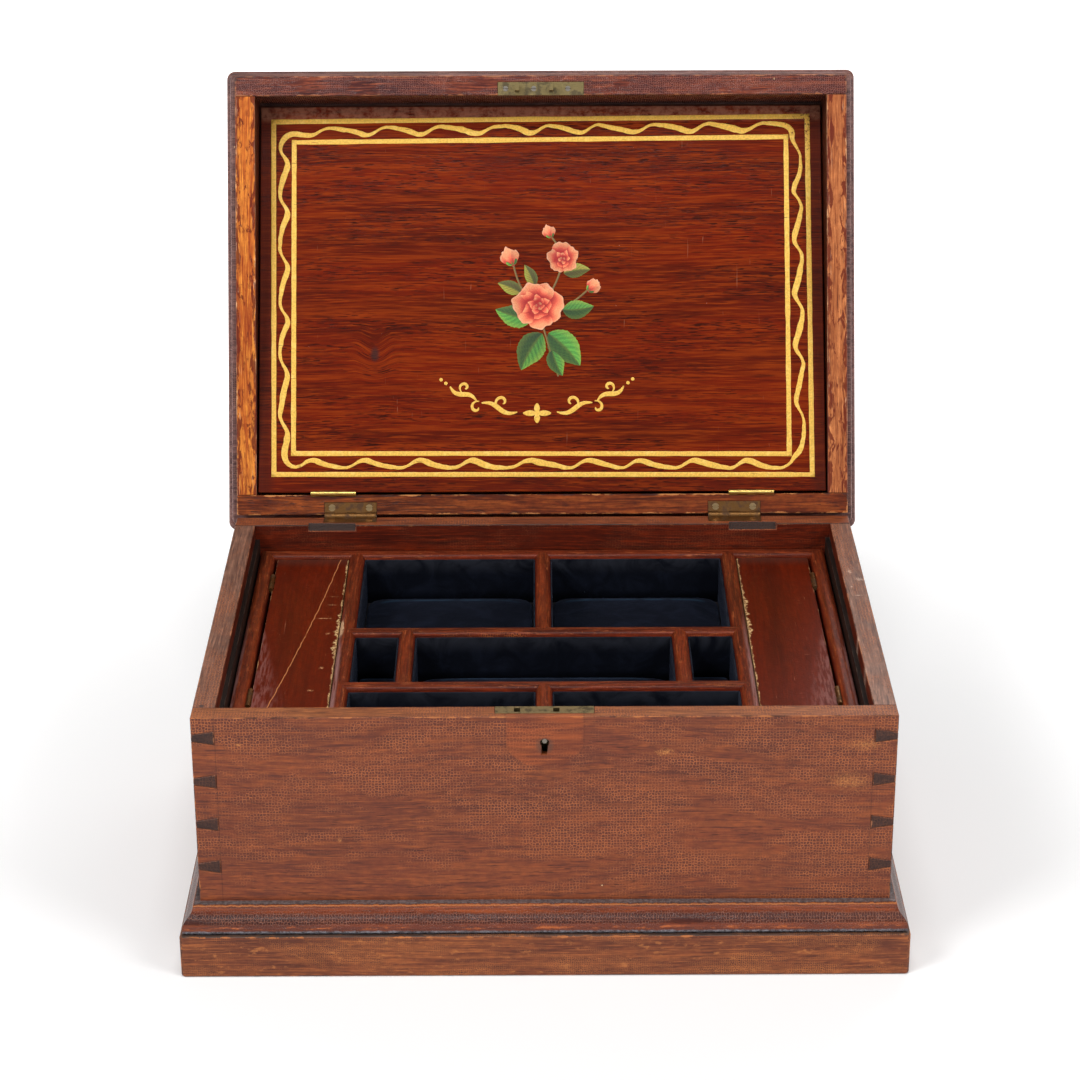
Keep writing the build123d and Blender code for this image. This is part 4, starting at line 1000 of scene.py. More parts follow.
def on_flap(points, height):
    """Points given across and up the flap, in metres, at a height over its painted face."""
    face = box_in("document_flap", along_flap)[1][2]
    matrix = np.array(along_flap)
    local = np.column_stack((points, np.full(len(points), face) + height))
    return local @ matrix[:3, :3].T + matrix[:3, 3]


def beside(path):
    """The unit vectors to the left of a path, at each of its points."""
    run = np.gradient(path, axis=0)
    run /= np.linalg.norm(run, axis=1)[:, None]
    return np.column_stack((-run[:, 1], run[:, 0]))


def curve(start, bend, end, count):
    """Points on a quadratic curve from its start to its end, drawn towards its bend."""
    share = np.linspace(0, 1, count)[:, None]
    start, bend, end = (np.array(point) for point in (start, bend, end))
    return (1 - share) ** 2 * start + 2 * share * (1 - share) * bend + share**2 * end


def polar(angle, reach):
    """The point, or a row of points, at an angle and a distance from the origin."""
    return (np.array((np.cos(angle), np.sin(angle))) * reach).T


def brush_stroke(name, path, half_width, height):
    """A line of paint: a low arched section carried along a path, as wide at each point as given there."""
    side = beside(path)
    across = np.array((-1.0, -0.92, -0.5, 0.0, 0.5, 0.92, 1.0))
    arch = np.array((-0.4, 0.7, 0.95, 1.0, 0.95, 0.7, -0.4))
    rows = [
        on_flap(path + side * (half_width * share)[:, None], height * rise) for share, rise in zip(across, arch)
    ]
    return grid_piece(name, np.stack(rows, axis=1), close_across=True, caps=True)


def rounded_loop(corners, radius, step):
    """Points along a closed loop with round corners, from straight runs and quarter turns."""
    pieces = []
    count = len(corners)
    for index in range(count):
        before, here, after = corners[index - 1], corners[index], corners[(index + 1) % count]
        inwards = (before - here) / np.linalg.norm(before - here)
        onwards = (after - here) / np.linalg.norm(after - here)
        start = here + inwards * radius
        end = here + onwards * radius
        pieces.append(curve(start, here, end, 9))
        straight = after - onwards * radius - end
        steps = max(2, int(np.linalg.norm(straight) / step))
        pieces.append(end + np.linspace(0, 1, steps, endpoint=False)[1:, None] * straight)
    points = np.concatenate(pieces)
    return np.concatenate((points, points[:1]))


def ragged(count, seed, amount):
    """A hand's unevenness along a line: smoothed noise about 1."""
    noise = np.random.default_rng(seed).normal(size=count)
    kernel = np.hanning(9) / np.hanning(9).sum()
    return 1 + amount * np.convolve(noise, kernel, mode="same")


# Corners of the painted borders, across and up the flap from its hinge: left foot and head, right head and foot
OUTER_BORDER = np.array(((-0.1617, 0.0118), (-0.1631, 0.2288), (0.1627, 0.2312), (0.1628, 0.0105)))
INNER_BORDER = np.array(((-0.1500, 0.0245), (-0.1505, 0.2160), (0.1496, 0.2184), (0.1491, 0.0232)))


def border_line(name, corners, width, height, seed):
    """Four straight strokes that meet in the corners of a border."""
    strokes = []
    for index in range(4):
        start, end = corners[index], corners[(index + 1) % 4]
        overlap = (end - start) / np.linalg.norm(end - start) * width / 2
        path = np.linspace(start - overlap, end + overlap, 120)
        half_width = width / 2 * ragged(120, seed + index, 0.10)
        strokes.append(brush_stroke(f"{name}_{index + 1}", path, half_width, height))
    return strokes


# The length of one wave of the ribbon
WAVE_LENGTH = 0.0330


def wave_ribbon(width, swing, height):
    """The wave between the borders: it swings from side to side of a loop midway, thicker on its slow falls."""
    middle = (OUTER_BORDER + INNER_BORDER) / 2
    path = rounded_loop(middle, 0.010, 0.0006)
    travelled = np.concatenate(([0], np.cumsum(np.linalg.norm(np.diff(path, axis=0), axis=1))))
    waves = round(travelled[-1] / WAVE_LENGTH)
    phase = 2 * pi * waves * travelled / travelled[-1]
    lap = 2 * pi * travelled / travelled[-1]
    drift = phase + 0.50 * np.sin(phase + 0.5) + 0.40 * np.sin(5 * lap + 1.0) + 0.30 * np.sin(11 * lap)
    offset = swing * np.sin(drift) * ragged(len(path), 5, 0.10)
    swelling = (1 + 0.34 * np.cos(drift + pi - 0.5)) * (1 + 0.10 * np.sin(7 * lap))
    half_width = width / 2 * swelling * ragged(len(path), 6, 0.12)
    return brush_stroke("wave_ribbon", path + beside(path) * offset[:, None], half_width, height)


def gold_material(colour):
    """Gold paint: brush mottling, dark specks where it has gone, the flap's wood under the worn places, and
    painted shade near the flap's edges.
    """
    material, g, shader, place, _ = start_material("gold_paint", along_flap)
    wood, _ = flap_figure(g, place)
    mottle = g.noise(place, 900.0, 3.0, 0.6)
    paint = g.mix(g.rise(mottle, 0.3, 0.7), tuple(part * 0.72 for part in colour), colour)
    paint = g.mix(g.rise(g.noise(place, 260.0, 2.0), 0.5, 0.75) * 0.35, paint, tone(255, 226, 130))
    x, y, _ = g.split(place)
    corner = g.rise(x, 0.13, 0.165) * g.rise(y, 0.17, 0.225)
    level = 0.7 - corner * 0.16
    gone = g.rise(g.noise(place, 700.0, 4.0, 0.75), level, level + 0.05)
    colour = g.mix(gone, paint, wood)
    # Painted shade: the gold darkens near the flap's edges, as under the lid's rails.
    shade = g.math("MAXIMUM", *painted_rail_shade(g, place)) * 0.36
    colour = g.mix(shade, colour, g.mix(1.0, colour, (0.50, 0.42, 0.30), "MULTIPLY"))
    cracks = g.noise(place * (90.0, 900.0, 1.0), 1.0, 1.0)
    colour = g.mix(g.rise(cracks, 0.74, 0.78) * 0.7, colour, wood)
    finish_surface(g, shader, colour, 0.42, mottle, 0.2, Specular_IOR_Level=0.3)
    return material


def leaf_shape(base, angle, length, width, bend, colour, rows=26, columns=13):
    """A leaf: its half width is a skewed sine with a sawn edge along a bent midrib.

    Its colour goes from the given green to a darker one on one half and a yellower one at its edges, with
    slanting veins and a pale midrib.
    """
    along = np.linspace(0, 1, rows)[:, None]
    across = np.linspace(-1, 1, columns)[None, :]
    teeth = 1 + 0.10 * np.abs(((along * 11) % 1) - 1) * np.abs(across)
    half = width / 2 * np.sin(pi * along**0.78) ** 0.9 * teeth
    heading = angle + bend * along
    rib_x = np.cumsum(np.cos(heading) * length / rows, axis=0)
    rib_y = np.cumsum(np.sin(heading) * length / rows, axis=0)
    x = base[0] + rib_x - np.sin(heading) * half * across
    y = base[1] + rib_y + np.cos(heading) * half * across
    vein = 0.5 + 0.5 * np.cos(15 * pi * (along - 0.28 * np.abs(across)))
    body = np.where(across > 0, 1.25, 0.30) * (0.65 + 0.50 * vein) * (0.75 + 0.45 * along)
    midrib = np.exp(-((across / 0.09) ** 2))
    yellow = np.clip(np.abs(across) - 0.50, 0, 1) * 0.9 + 0.4 * midrib + 0.35 * along * vein
    green = np.array(colour) * body[..., None]
    sunny = np.array((0.34, 0.50, 0.05)) * (0.45 + 0.6 * (across > 0))[..., None]
    tints = green + (sunny - green) * np.clip(yellow, 0, 0.75)[..., None]
    return np.stack((x, y), axis=-1), tints


def petal_shape(centre, angle, length, width, colour, glow, hidden=0.3, rows=22, columns=17):
    """A petal: narrow at its foot, broad and softly waved at its lip.

    Its colour is a deep red up to the share of its length that the next petals hide, then rises through the
    given colour to a pale peach, with darker folds and one side in shade.
    """
    along = np.linspace(0, 1, rows)[:, None]
    across = np.linspace(-1, 1, columns)[None, :]
    half = width / 2 * (0.18 + 0.82 * np.sin(pi * 0.60 * along) ** 0.9)
    wave = 0.05 * np.sin(4 * across + 7 * angle) + 0.03 * np.cos(9 * across + 3 * angle)
    reach = length * along * (1 - 0.30 * across**2 * along + wave * along)
    x = centre[0] + np.cos(angle) * reach - np.sin(angle) * half * across
    y = centre[1] + np.sin(angle) * reach + np.cos(angle) * half * across
    fold = 0.5 + 0.5 * np.cos(5 * across + 2.0 * along + 5 * angle)
    covered = 0.62 * hidden
    shown = np.clip((along - covered) / (1 - covered), 0, 1) * (0.75 + 0.45 * fold)
    shown = np.clip(shown - 0.25 * np.clip(across, 0, 1), 0, 1)[..., None]
    deep = np.array(colour) * np.array((0.48, 0.05, 0.10))
    pale = np.array((0.95, 0.37, 0.16)) * glow
    tints = deep + (np.array(colour) * glow - deep) * np.clip(shown * 3.2, 0, 1)
    tints = tints + (pale - tints) * np.clip(shown * 2.4 - 0.60, 0, 1)
    lip = np.clip(along * 9 - 8.0, 0, 1) * (0.3 + 0.7 * fold)
    tints = tints + (np.array((0.97, 0.62, 0.42)) - tints) * 0.6 * lip[..., None]
    return np.stack((x, y), axis=-1), tints


def painted_patch(name, outline, tints, height, lift):
    """A patch of paint: a grid of points on the flap, domed by its lift, with a colour at each point."""
    rows, columns = outline.shape[:2]
    dome = np.sin(np.linspace(0, pi, rows))[:, None] * np.sin(np.linspace(0, pi, columns))[None, :]
    points = on_flap(outline.reshape(-1, 2), (height + lift * dome).reshape(-1)).reshape(rows, columns, 3)
    piece = grid_piece(name, points)
    paint = piece.data.color_attributes.new("paint", "FLOAT_COLOR", "POINT")
    tints = np.clip(np.broadcast_to(tints, (rows, columns, 3)).reshape(-1, 3), 0, 1)
    values = np.column_stack((tints, np.ones(rows * columns)))
    paint.data.foreach_set("color", values.astype(np.float32).ravel())
    return piece


def spray_material():
    """Painted flowers: each patch's own colour, mottled like printed paint, rubbed through in specks."""
    material, g, shader, place, _ = start_material("flower_paint", along_flap)
    tint = g.add("ShaderNodeAttribute", attribute_name="paint")
    wood, _ = flap_figure(g, place)
    mottle = g.noise(place, 1300.0, 3.0, 0.6)
    shadow = g.mix(1.0, tint.outputs["Color"], (0.80, 0.68, 0.68), "MULTIPLY")
    colour = g.mix(g.rise(mottle, 0.35, 0.7), shadow, tint.outputs["Color"])
    gone = g.rise(g.noise(place, 900.0, 4.0, 0.8), 0.70, 0.74)
    colour = g.mix(gone, colour, wood)
    finish_surface(g, shader, colour, 0.4, mottle, 0.2, Coat_Weight=0.3)
    return material


def join_pieces(name, parts):
    """Joins painted parts into one piece."""
    with bpy.context.temp_override(active_object=parts[0], selected_editable_objects=parts):
        bpy.ops.object.join()
    parts[0].name = name
    parts[0].data.name = name
    return parts[0]


class PaintBorder(bpy.types.Operator):
    """Paint the two gold border lines and the wave between them on the flap"""

    bl_idname = "writing_box.border"
    bl_label = "Painted Border"

    def execute(self, context):
        sizes = context.scene.box_sizes
        gold = gold_material(tuple(context.scene.box_colours.gold))
        strokes = border_line("outer_line", OUTER_BORDER, sizes.line_width, sizes.paint_height, 11)
        strokes += border_line("inner_line", INNER_BORDER, sizes.line_width, sizes.paint_height * 1.1, 21)
        strokes.append(wave_ribbon(sizes.ribbon_width, sizes.ribbon_swing, sizes.paint_height))
        settle(outward(join_pieces("gold_border", strokes)), "document_flap", gold)
        return {"FINISHED"}


def scroll(centre, start_angle, turns, radius, count=40):
    """A spiral curl: its radius shrinks evenly as it turns."""
    share = np.linspace(0, 1, count)
    angle = start_angle + turns * 2 * pi * share
    return centre + polar(angle, radius * (1 - 0.78 * share))


class PaintOrnament(bpy.types.Operator):
    """Paint a scrolled gold flourish and a spray of blossoms on the flap"""

    bl_idname = "writing_box.ornament"
    bl_label = "Painted Ornament"

    def execute(self, context):
        sizes, colours = context.scene.box_sizes, context.scene.box_colours
        scrolled = outward(join_pieces("gold_flourish", flourish(sizes.paint_height)))
        settle(scrolled, "document_flap", bpy.data.materials["gold_paint"])
        patches = flower_spray(tuple(colours.blossom), tuple(colours.leaf), sizes.paint_height)
        spray = join_pieces("flower_spray", patches)
        spray.data.shade_smooth()
        settle(spray, "document_flap", spray_material())
        return {"FINISHED"}


def tapered(path, width):
    """Half widths of a stroke that swells in its middle and runs out at both ends."""
    return width / 2 * (0.16 + 0.84 * np.sin(np.linspace(0.05, pi - 0.05, len(path))) ** 0.8)


# The flourish: its arc's middle and radius, and its parts in degrees from the foot of the arc. Each curl has
# its distance to the arc, its first angle, its turns and its radius too
ARC_MIDDLE, ARC_RADIUS = np.array((-0.003, 0.140)), 0.0915
LONG_STROKES = ((7.5, 21.5), (23.5, 35.0))
CURLS = ((14.0, -0.0042, 0, 0.9, 0.0046), (22.5, 0.0036, pi, -0.8, 0.0040), (30.0, -0.0042, 0, 0.9, 0.0034))
DOTS = (37.0, 39.3)
LOZENGE = np.array((0.0085, 0.0060))


def flourish(height):
    """A flourish on an arc below the spray: mirrored swelling strokes, curls and dots about a lozenge."""
    strokes = []
    for side in (-1, 1):
        for (low, high), swing in zip(LONG_STROKES, (0.0016, -0.0016)):
            angle = np.radians(np.linspace(low, high, 40)) * side - pi / 2
            path = ARC_MIDDLE + polar(angle, ARC_RADIUS + swing * np.sin(np.linspace(0, 2 * pi, 40)))
            strokes.append(brush_stroke("stem", path, tapered(path, 0.0030), height))
        for place, offset, start, turns, size in CURLS:
            angle = radians(place) * side - pi / 2
            path = scroll(ARC_MIDDLE + polar(angle, ARC_RADIUS + offset), angle + start, turns * side, size)
            strokes.append(brush_stroke("curl", path, tapered(path, 0.0019), height * 1.05))
        for place in DOTS:
            spot = ARC_MIDDLE + polar(radians(place) * side - pi / 2, ARC_RADIUS)
            strokes.append(dot(spot, 0.0011, height))
    middle = ARC_MIDDLE - (0.0, ARC_RADIUS)
    for turn in range(4):
        path = np.linspace(middle, middle + polar(pi / 2 * turn, LOZENGE), 20)
        strokes.append(brush_stroke("lozenge", path, tapered(path, 0.0036), height))
    return strokes


def dot(place, radius, height):
    """A round dot of paint, as a short stroke with half-round ends."""
    share = np.linspace(-1, 1, 13)
    path = np.column_stack((place[0] + radius * share, np.full(13, place[1])))
    return brush_stroke("dot", path, radius * np.sqrt(np.clip(1.0 - share**2, 0.02, 1)), height)


def blossom(centre, size, whorls, colour, height, seed):
    """A full bloom: whorls of uneven petals from a broad outer one to a tight dark heart."""
    parts = []
    bank = np.random.default_rng(seed)
    for whorl, (count, share, glow) in enumerate(whorls):
        middle = np.array(centre) + bank.uniform(-0.06, 0.06, 2) * size
        for index in range(count):
            angle = 2 * pi * (index + 0.5 * whorl + bank.uniform(-0.12, 0.12)) / count + seed
            length = size * share * bank.uniform(0.88, 1.10)
            bright = glow * (0.86 + 0.26 * (sin(angle + 2.4) * 0.5 + 0.5)) * bank.uniform(0.94, 1.06)
            width = length * bank.uniform(1.0, 1.25)
            hidden = whorls[whorl + 1][1] / share if whorl + 1 < len(whorls) else 0.1
            outline, tints = petal_shape(middle, angle, length, width, colour, bright, hidden)
            level = height + 0.000022 * whorl + 0.000004 * index
            parts.append(painted_patch("petal", outline, tints, level, 0.00010))
    return parts


def painted_stem(start, bend, end, width, colour, height):
    """A stem: a narrow strip about a curve from its start to its end, drawn towards its bend."""
    path = curve(start, bend, end, 30)
    side = beside(path) * width / 2
    outline = np.stack((path - side, path, path + side), axis=1)
    shade = np.array((0.5, 1.0, 1.5))[None, :, None] * np.array(colour)
    return painted_patch("stem", outline, np.broadcast_to(shade, (30, 3, 3)), height, 0.00004)


# The spray: its stems' starts, bends and ends, its leaves' feet, angles, lengths, widths, bends and
# brightness, and its buds' feet, angles and lengths
STEMS = (
    ((0.010, 0.071), (0.004, 0.090), (-0.002, 0.112)),
    ((-0.002, 0.112), (0.010, 0.126), (0.013, 0.142)),
    ((-0.003, 0.112), (-0.014, 0.124), (-0.017, 0.140)),
    ((0.002, 0.108), (0.018, 0.114), (0.028, 0.124)),
    ((0.013, 0.142), (0.012, 0.150), (0.006, 0.157)),
)
LEAVES = (
    ((0.003, 0.098), -0.62, 0.029, 0.0170, -0.35, 1.2),
    ((0.001, 0.098), -2.30, 0.027, 0.0160, 0.40, 0.8),
    ((0.006, 0.088), -1.35, 0.018, 0.0100, 0.30, 1.0),
    ((-0.005, 0.106), 3.05, 0.024, 0.0130, -0.35, 1.1),
    ((0.012, 0.112), -0.10, 0.020, 0.0110, 0.40, 0.9),
    ((-0.012, 0.122), 2.55, 0.016, 0.0080, 0.35, 1.5),
    ((0.013, 0.134), 0.35, 0.017, 0.0085, -0.40, 1.4),
    ((-0.004, 0.126), 1.85, 0.015, 0.0070, 0.30, 1.3),
)
BUDS = (((-0.017, 0.139), 1.95, 0.0120), ((0.028, 0.123), 0.75, 0.0095), ((0.006, 0.156), 1.9, 0.0085))
# Each bud's petals: their turn, their share of its length and their glow. Its sepals' turns
BUD_PETALS = ((-0.34, 0.86, 0.75), (0.34, 0.90, 0.95), (0.0, 1.0, 1.05))
SEPALS = (-0.75, 0.0, 0.75)
# The whorls of a large and of a small bloom: how many petals, their share of its size and their glow
LARGE = ((6, 1.0, 0.95), (5, 0.76, 1.05), (5, 0.54, 1.05), (4, 0.35, 0.9), (3, 0.19, 0.6))
SMALL = ((5, 1.0, 0.8), (4, 0.68, 1.0), (4, 0.42, 0.9), (3, 0.22, 0.6))
STEM_BROWN, OLIVE = (0.20, 0.13, 0.03), (0.20, 0.17, 0.02)


def flower_spray(petal_colour, leaf_colour, height):
    """A spray: one large and a smaller bloom and three buds on arched stems, among sawn leaves."""
    parts = [painted_stem(*stem, 0.0011, STEM_BROWN, height) for stem in STEMS]
    for index, (*shape, bright) in enumerate(LEAVES):
        tint = tuple(part * bright for part in (leaf_colour if index < 5 else OLIVE))
        outline, tints = leaf_shape(*shape, tint)
        parts.append(painted_patch("leaf", outline, tints, height + 0.000006 * (index + 1), 0.00010))
    for place, angle, length in BUDS:
        for turn, share, glow in BUD_PETALS:
            size = (length * share, length * 0.62)
            outline, tints = petal_shape(place, angle + turn, *size, petal_colour, glow, 0.15, 14, 9)
            parts.append(painted_patch("bud", outline, tints, height + 0.00006, 0.00012))
        for turn in SEPALS:
            size = (length * 0.62, length * 0.22)
            outline, tints = leaf_shape(place, angle + turn, *size, -turn * 0.7, leaf_colour, 12, 7)
            parts.append(painted_patch("sepal", outline, tints * 1.2, height + 0.00009, 0.00006))
    parts += blossom((-0.002, 0.115), 0.0150, LARGE, petal_colour, height + 0.00012, 3)
    parts += blossom((0.013, 0.143), 0.0098, SMALL, petal_colour, height + 0.00012, 8)
    return parts


# Till


def scuffs(g, colour, place):
    """Fine pale scratches along and across a side lid."""
    for stretch, amount in (((50.0, 1400.0, 1.0), 0.36), ((1100.0, 90.0, 1.0), 0.40)):
        marks = g.rise(g.noise(place * stretch, 1.0, 2.0, 0.6, 0.4), 0.7, 0.76)
        few = g.rise(g.noise(place, 45.0, 2.0), 0.46, 0.58)
        colour = g.mix(marks * few * amount, colour, tone(196, 130, 100))
    return colour


def rubbed(g, colour, place, edge):
    """Violet wear in streaks along a side lid's hinged edge, broader to its front, and darker towards its back
    end.
    """
    x, y, _ = g.split(place)
    colour = g.mix(g.rise(x, 0.096, 0.109) * 0.5, colour, tone(70, 46, 38))
    width = g.math("MAXIMUM", (0.014 - x) * 0.2, 0.0002)
    inwards = abs(y - edge)
    near = g.fall(inwards / width, 0.2, 1.1)
    broken = g.rise(g.noise(place * (75.0, 620.0, 1.0), 1.0, 5.0, 0.72), 0.42, 0.6)
    return g.mix(near * broken * 0.5, colour, tone(146, 98, 92))


def splintered(g, colour, place, edge, middle, reach):
    """Pale splinters where a lid's varnish has broken away along its inner edge, deeper over one stretch."""
    x, y, _ = g.split(place)
    deeper = g.fall(abs(x - middle), reach * 0.6, reach * 1.3)
    depth = g.rise(g.noise(place * (190.0, 1.0, 1.0), 1.0, 4.0, 0.7), 0.34, 0.66) * (0.0011 + deeper * 0.0024)
    stretch = g.rise(g.noise(place * (55.0, 1.0, 1.0), 1.0, 3.0, 0.7), 0.3, 0.42)
    mask = g.fall(abs(y - edge), depth * 0.8, depth + 0.0003) * g.math("MAXIMUM", stretch, deeper)
    pale = g.mix(g.rise(g.noise(place, 900.0, 2.0), 0.4, 0.6), tone(120, 78, 46), tone(222, 186, 132))
    return g.mix(mask * 0.9, colour, pale)


# The long scratch: its distance from the box's middle at X = 0, and how that changes with X and its square
SCRATCH = (0.1346, 0.1477, 0.158)
# The deeper stretch of each side lid's splinters: its middle and its reach to each side
LEFT_SPLINTERS, RIGHT_SPLINTERS = (0.005, 0.027), (0.031, 0.027)


def scored_lid(g, colour, place, normal):
    """The long pale scratch across the left lid, its scuffs, and the splinters along its inner edge."""
    x, y, _ = g.split(place)
    wobble = (g.noise(place, 120.0, 3.0) - 0.5) * 0.0016
    course = SCRATCH[0] - x * (SCRATCH[1] - x * SCRATCH[2])
    line = abs(y + wobble - course)
    gaps = g.rise(g.noise(place * (60.0, 1.0, 1.0), 1.0, 3.0, 0.7), 0.36, 0.46)
    mask = g.fall(line, 0.0001, 0.0004) * (0.4 + gaps * 0.6) * g.rise(g.split(normal)[2], 0.6, 0.8)
    low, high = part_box("till_left_lid")
    colour = rubbed(g, scuffs(g, colour, place), place, -low[0])
    colour = g.mix(mask * 0.9, colour, tone(190, 122, 76))
    colour = knocks(g, colour, place, LID_MARKS, tone(206, 150, 104))
    return splintered(g, colour, place, -high[0], *LEFT_SPLINTERS)


def chipped_lid(g, colour, place, normal):
    """The right lid's scuffs, and the chips along its inner edge."""
    low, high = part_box("till_right_lid")
    colour = rubbed(g, scuffs(g, colour, place), place, -high[0])
    return splintered(g, colour, place, -low[0], *RIGHT_SPLINTERS)


def rubbed_top(g, colour, place, normal):
    """Tan streaks and specks where hands have rubbed the rounded tops of the till."""
    top = g.rise(g.split(normal)[2], 0.25, 0.7)
    streaks = g.noise(place * (75.0, 520.0, 520.0), 1.0, 5.0, 0.72)
    specks = g.noise(place, 950.0, 4.0, 0.75)
    mask = g.math("MAXIMUM", g.rise(streaks, 0.56, 0.68), g.rise(specks, 0.62, 0.66))
    return g.mix(mask * top * 0.55, colour, tone(178, 98, 56))


def edge_highlight(g, colour, place, edge, reach):
    """Painted highlight: violet-grey streaks over the front half of a till board, along its rounded outer edge.
    """
    x, y, _ = g.split(place)
    near = g.fall(abs(y - edge), reach * 0.4, reach)
    streaks = g.rise(g.noise(place * (45.0, 700.0, 700.0), 1.0, 4.0, 0.7), 0.36, 0.54)
    mask = near * streaks * g.fall(x, -0.05, 0.045)
    return g.mix(mask * 0.75, colour, tone(158, 116, 112))


def chip(g, colour, place, spot):
    """A long pale chip in a bar's outer edge, where the cross rail meets it."""
    away = g.math("LENGTH", (place - spot) * (0.17, 0.8, 0.5))
    away = away + g.noise(place * (0.3, 1.0, 1.0), 700.0, 3.0, 0.7) * 0.0028
    return g.mix(g.fall(away, 0.003, 0.0036) * 0.85, colour, tone(206, 166, 128))


# How far along the left bar its chip stands
CHIP_X = 0.0100
# How far the painted highlight streaks reach in from the outer edge of the till's side walls and bars
HIGHLIGHT_REACH = {
    "till_left_wall": 0.0030, "till_right_wall": 0.0030, "till_left_bar": 0.0036, "till_right_bar": 0.0036,
}


def till_wear_and_highlight(node):
    """A layer for a till board: its rubbed top, and the painted highlight along the outer edge of a side wall
    or a bar.
    """
    low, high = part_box(node)
    edge = -low[0] if low[0] < 0 else -high[0]

    def layer(g, colour, place, normal):
        colour = rubbed_top(g, colour, place, normal)
        if node in HIGHLIGHT_REACH:
            colour = edge_highlight(g, colour, place, edge, HIGHLIGHT_REACH[node])
        return chip(g, colour, place, (CHIP_X, edge, high[2])) if node == "till_left_bar" else colour

    return layer


class DressTill(bpy.types.Operator):
    """Dress the till's walls, rails and side lids"""

    bl_idname = "writing_box.till"
    bl_label = "Till"

    def execute(self, context):
        along = ("front_wall", "back_wall", "back_cross_rail", "front_cross_rail")
        across = (
            "left_wall", "right_wall", "left_bar", "right_bar", "back_divider", "front_divider",
            "middle_left_divider", "middle_right_divider", "lid_rests",
        )
        for names, matrix in ((along, along_case), (across, across_case)):
            for name in names:
                dress(f"till_{name}", "till", matrix, till_wear_and_highlight(f"till_{name}"))
        dress("till_bottom", "till floor", along_case)
        ease = context.scene.box_sizes.edge_ease
        for side, extra in (("left", scored_lid), ("right", chipped_lid)):
            node = f"till_{side}_lid"
            eased_board(node, f"{side}_side_lid", ease, board_material(node, "side lid", across_case, extra))
        return {"FINISHED"}


# Velvet


# How square the pads are up and around, how far their sides are drawn in, and how high they ripple
SQUARE_UP, SQUARE_AROUND, DRAWN_IN, RIPPLE = 0.34, 0.22, 0.0005, 0.00012


def pad_surface(low, high, edge, crown, seed):
    """A pad: a flattened pillow whose footprint is a box with sides drawn in between its corners.

    Around and up run two angles. Powers of their sines and cosines square the pillow off, its sides are drawn
    in by a share of the distance to the corners, and its top rises from the edge to the crown.
    """
    around = np.linspace(0, 2 * pi, 120, endpoint=False)[None, :]
    up = np.linspace(-pi / 2 + 0.02, pi / 2 - 0.02, 44)[:, None]
    reach = np.cos(up) ** SQUARE_UP
    turns = (np.cos(around), np.sin(around))
    x, y = (np.sign(share) * np.abs(share) ** SQUARE_AROUND * reach for share in turns)
    low_xy, high_xy = np.array(low[:2]), np.array(high[:2])
    half, middle = (high_xy - low_xy) / 2, (high_xy + low_xy) / 2
    pull = DRAWN_IN / half
    draw_x = 1 - pull[0] * np.cos(pi / 2 * np.clip(y, -1, 1))
    draw_y = 1 - pull[1] * np.cos(pi / 2 * np.clip(x, -1, 1))
    arch = np.clip(1 - np.abs(x) ** 2.6, 0, 1) * np.clip(1 - np.abs(y) ** 2.4, 0, 1)
    upper, lower = (np.clip(turn * np.sin(up), 0, 1) ** 0.5 for turn in (1, -1))
    level = edge * 0.5 * (1 + upper - lower)
    bank = np.random.default_rng(seed)
    ripple = np.zeros_like(x * y)
    for turn, length, shift in bank.uniform((0, 1.5, 0), (pi, 5.0, 2 * pi), (7, 3)):
        ripple = ripple + np.sin(length * 2 * (x * np.cos(turn) + y * np.sin(turn)) + shift)
    z = low[2] + level + upper * ((crown - edge - 0.0002) * arch + RIPPLE * ripple * arch)
    points = np.stack((middle[0] + half[0] * x * draw_x, middle[1] + half[1] * y * draw_y, z + 0 * x), axis=-1)
    # The rim: a painted highlight line along the upper edge of each pad's back side.
    rim = np.exp(-(((up - 0.80) / 0.08) ** 2)) * np.clip(np.sin(around) * 2.2 - 1.3, 0, 1)
    return points, rim


def velvet_pad(node, sizes, material, seed):
    """A crowned velvet pad in the place of a CAD one."""
    low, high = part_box(node)
    points, rim = pad_surface(low, high, sizes.pad_edge, sizes.pad_crown, seed)
    piece = grid_piece(f"velvet_{node}", points, True, True)
    # The painted highlight line along the pad's upper back edge goes into the rim attribute.
    worn = piece.data.attributes.new("rim", "FLOAT", "POINT")
    worn.data.foreach_set("value", rim.astype(np.float32).ravel())
    settle(outward(piece), node, material)
    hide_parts(node)


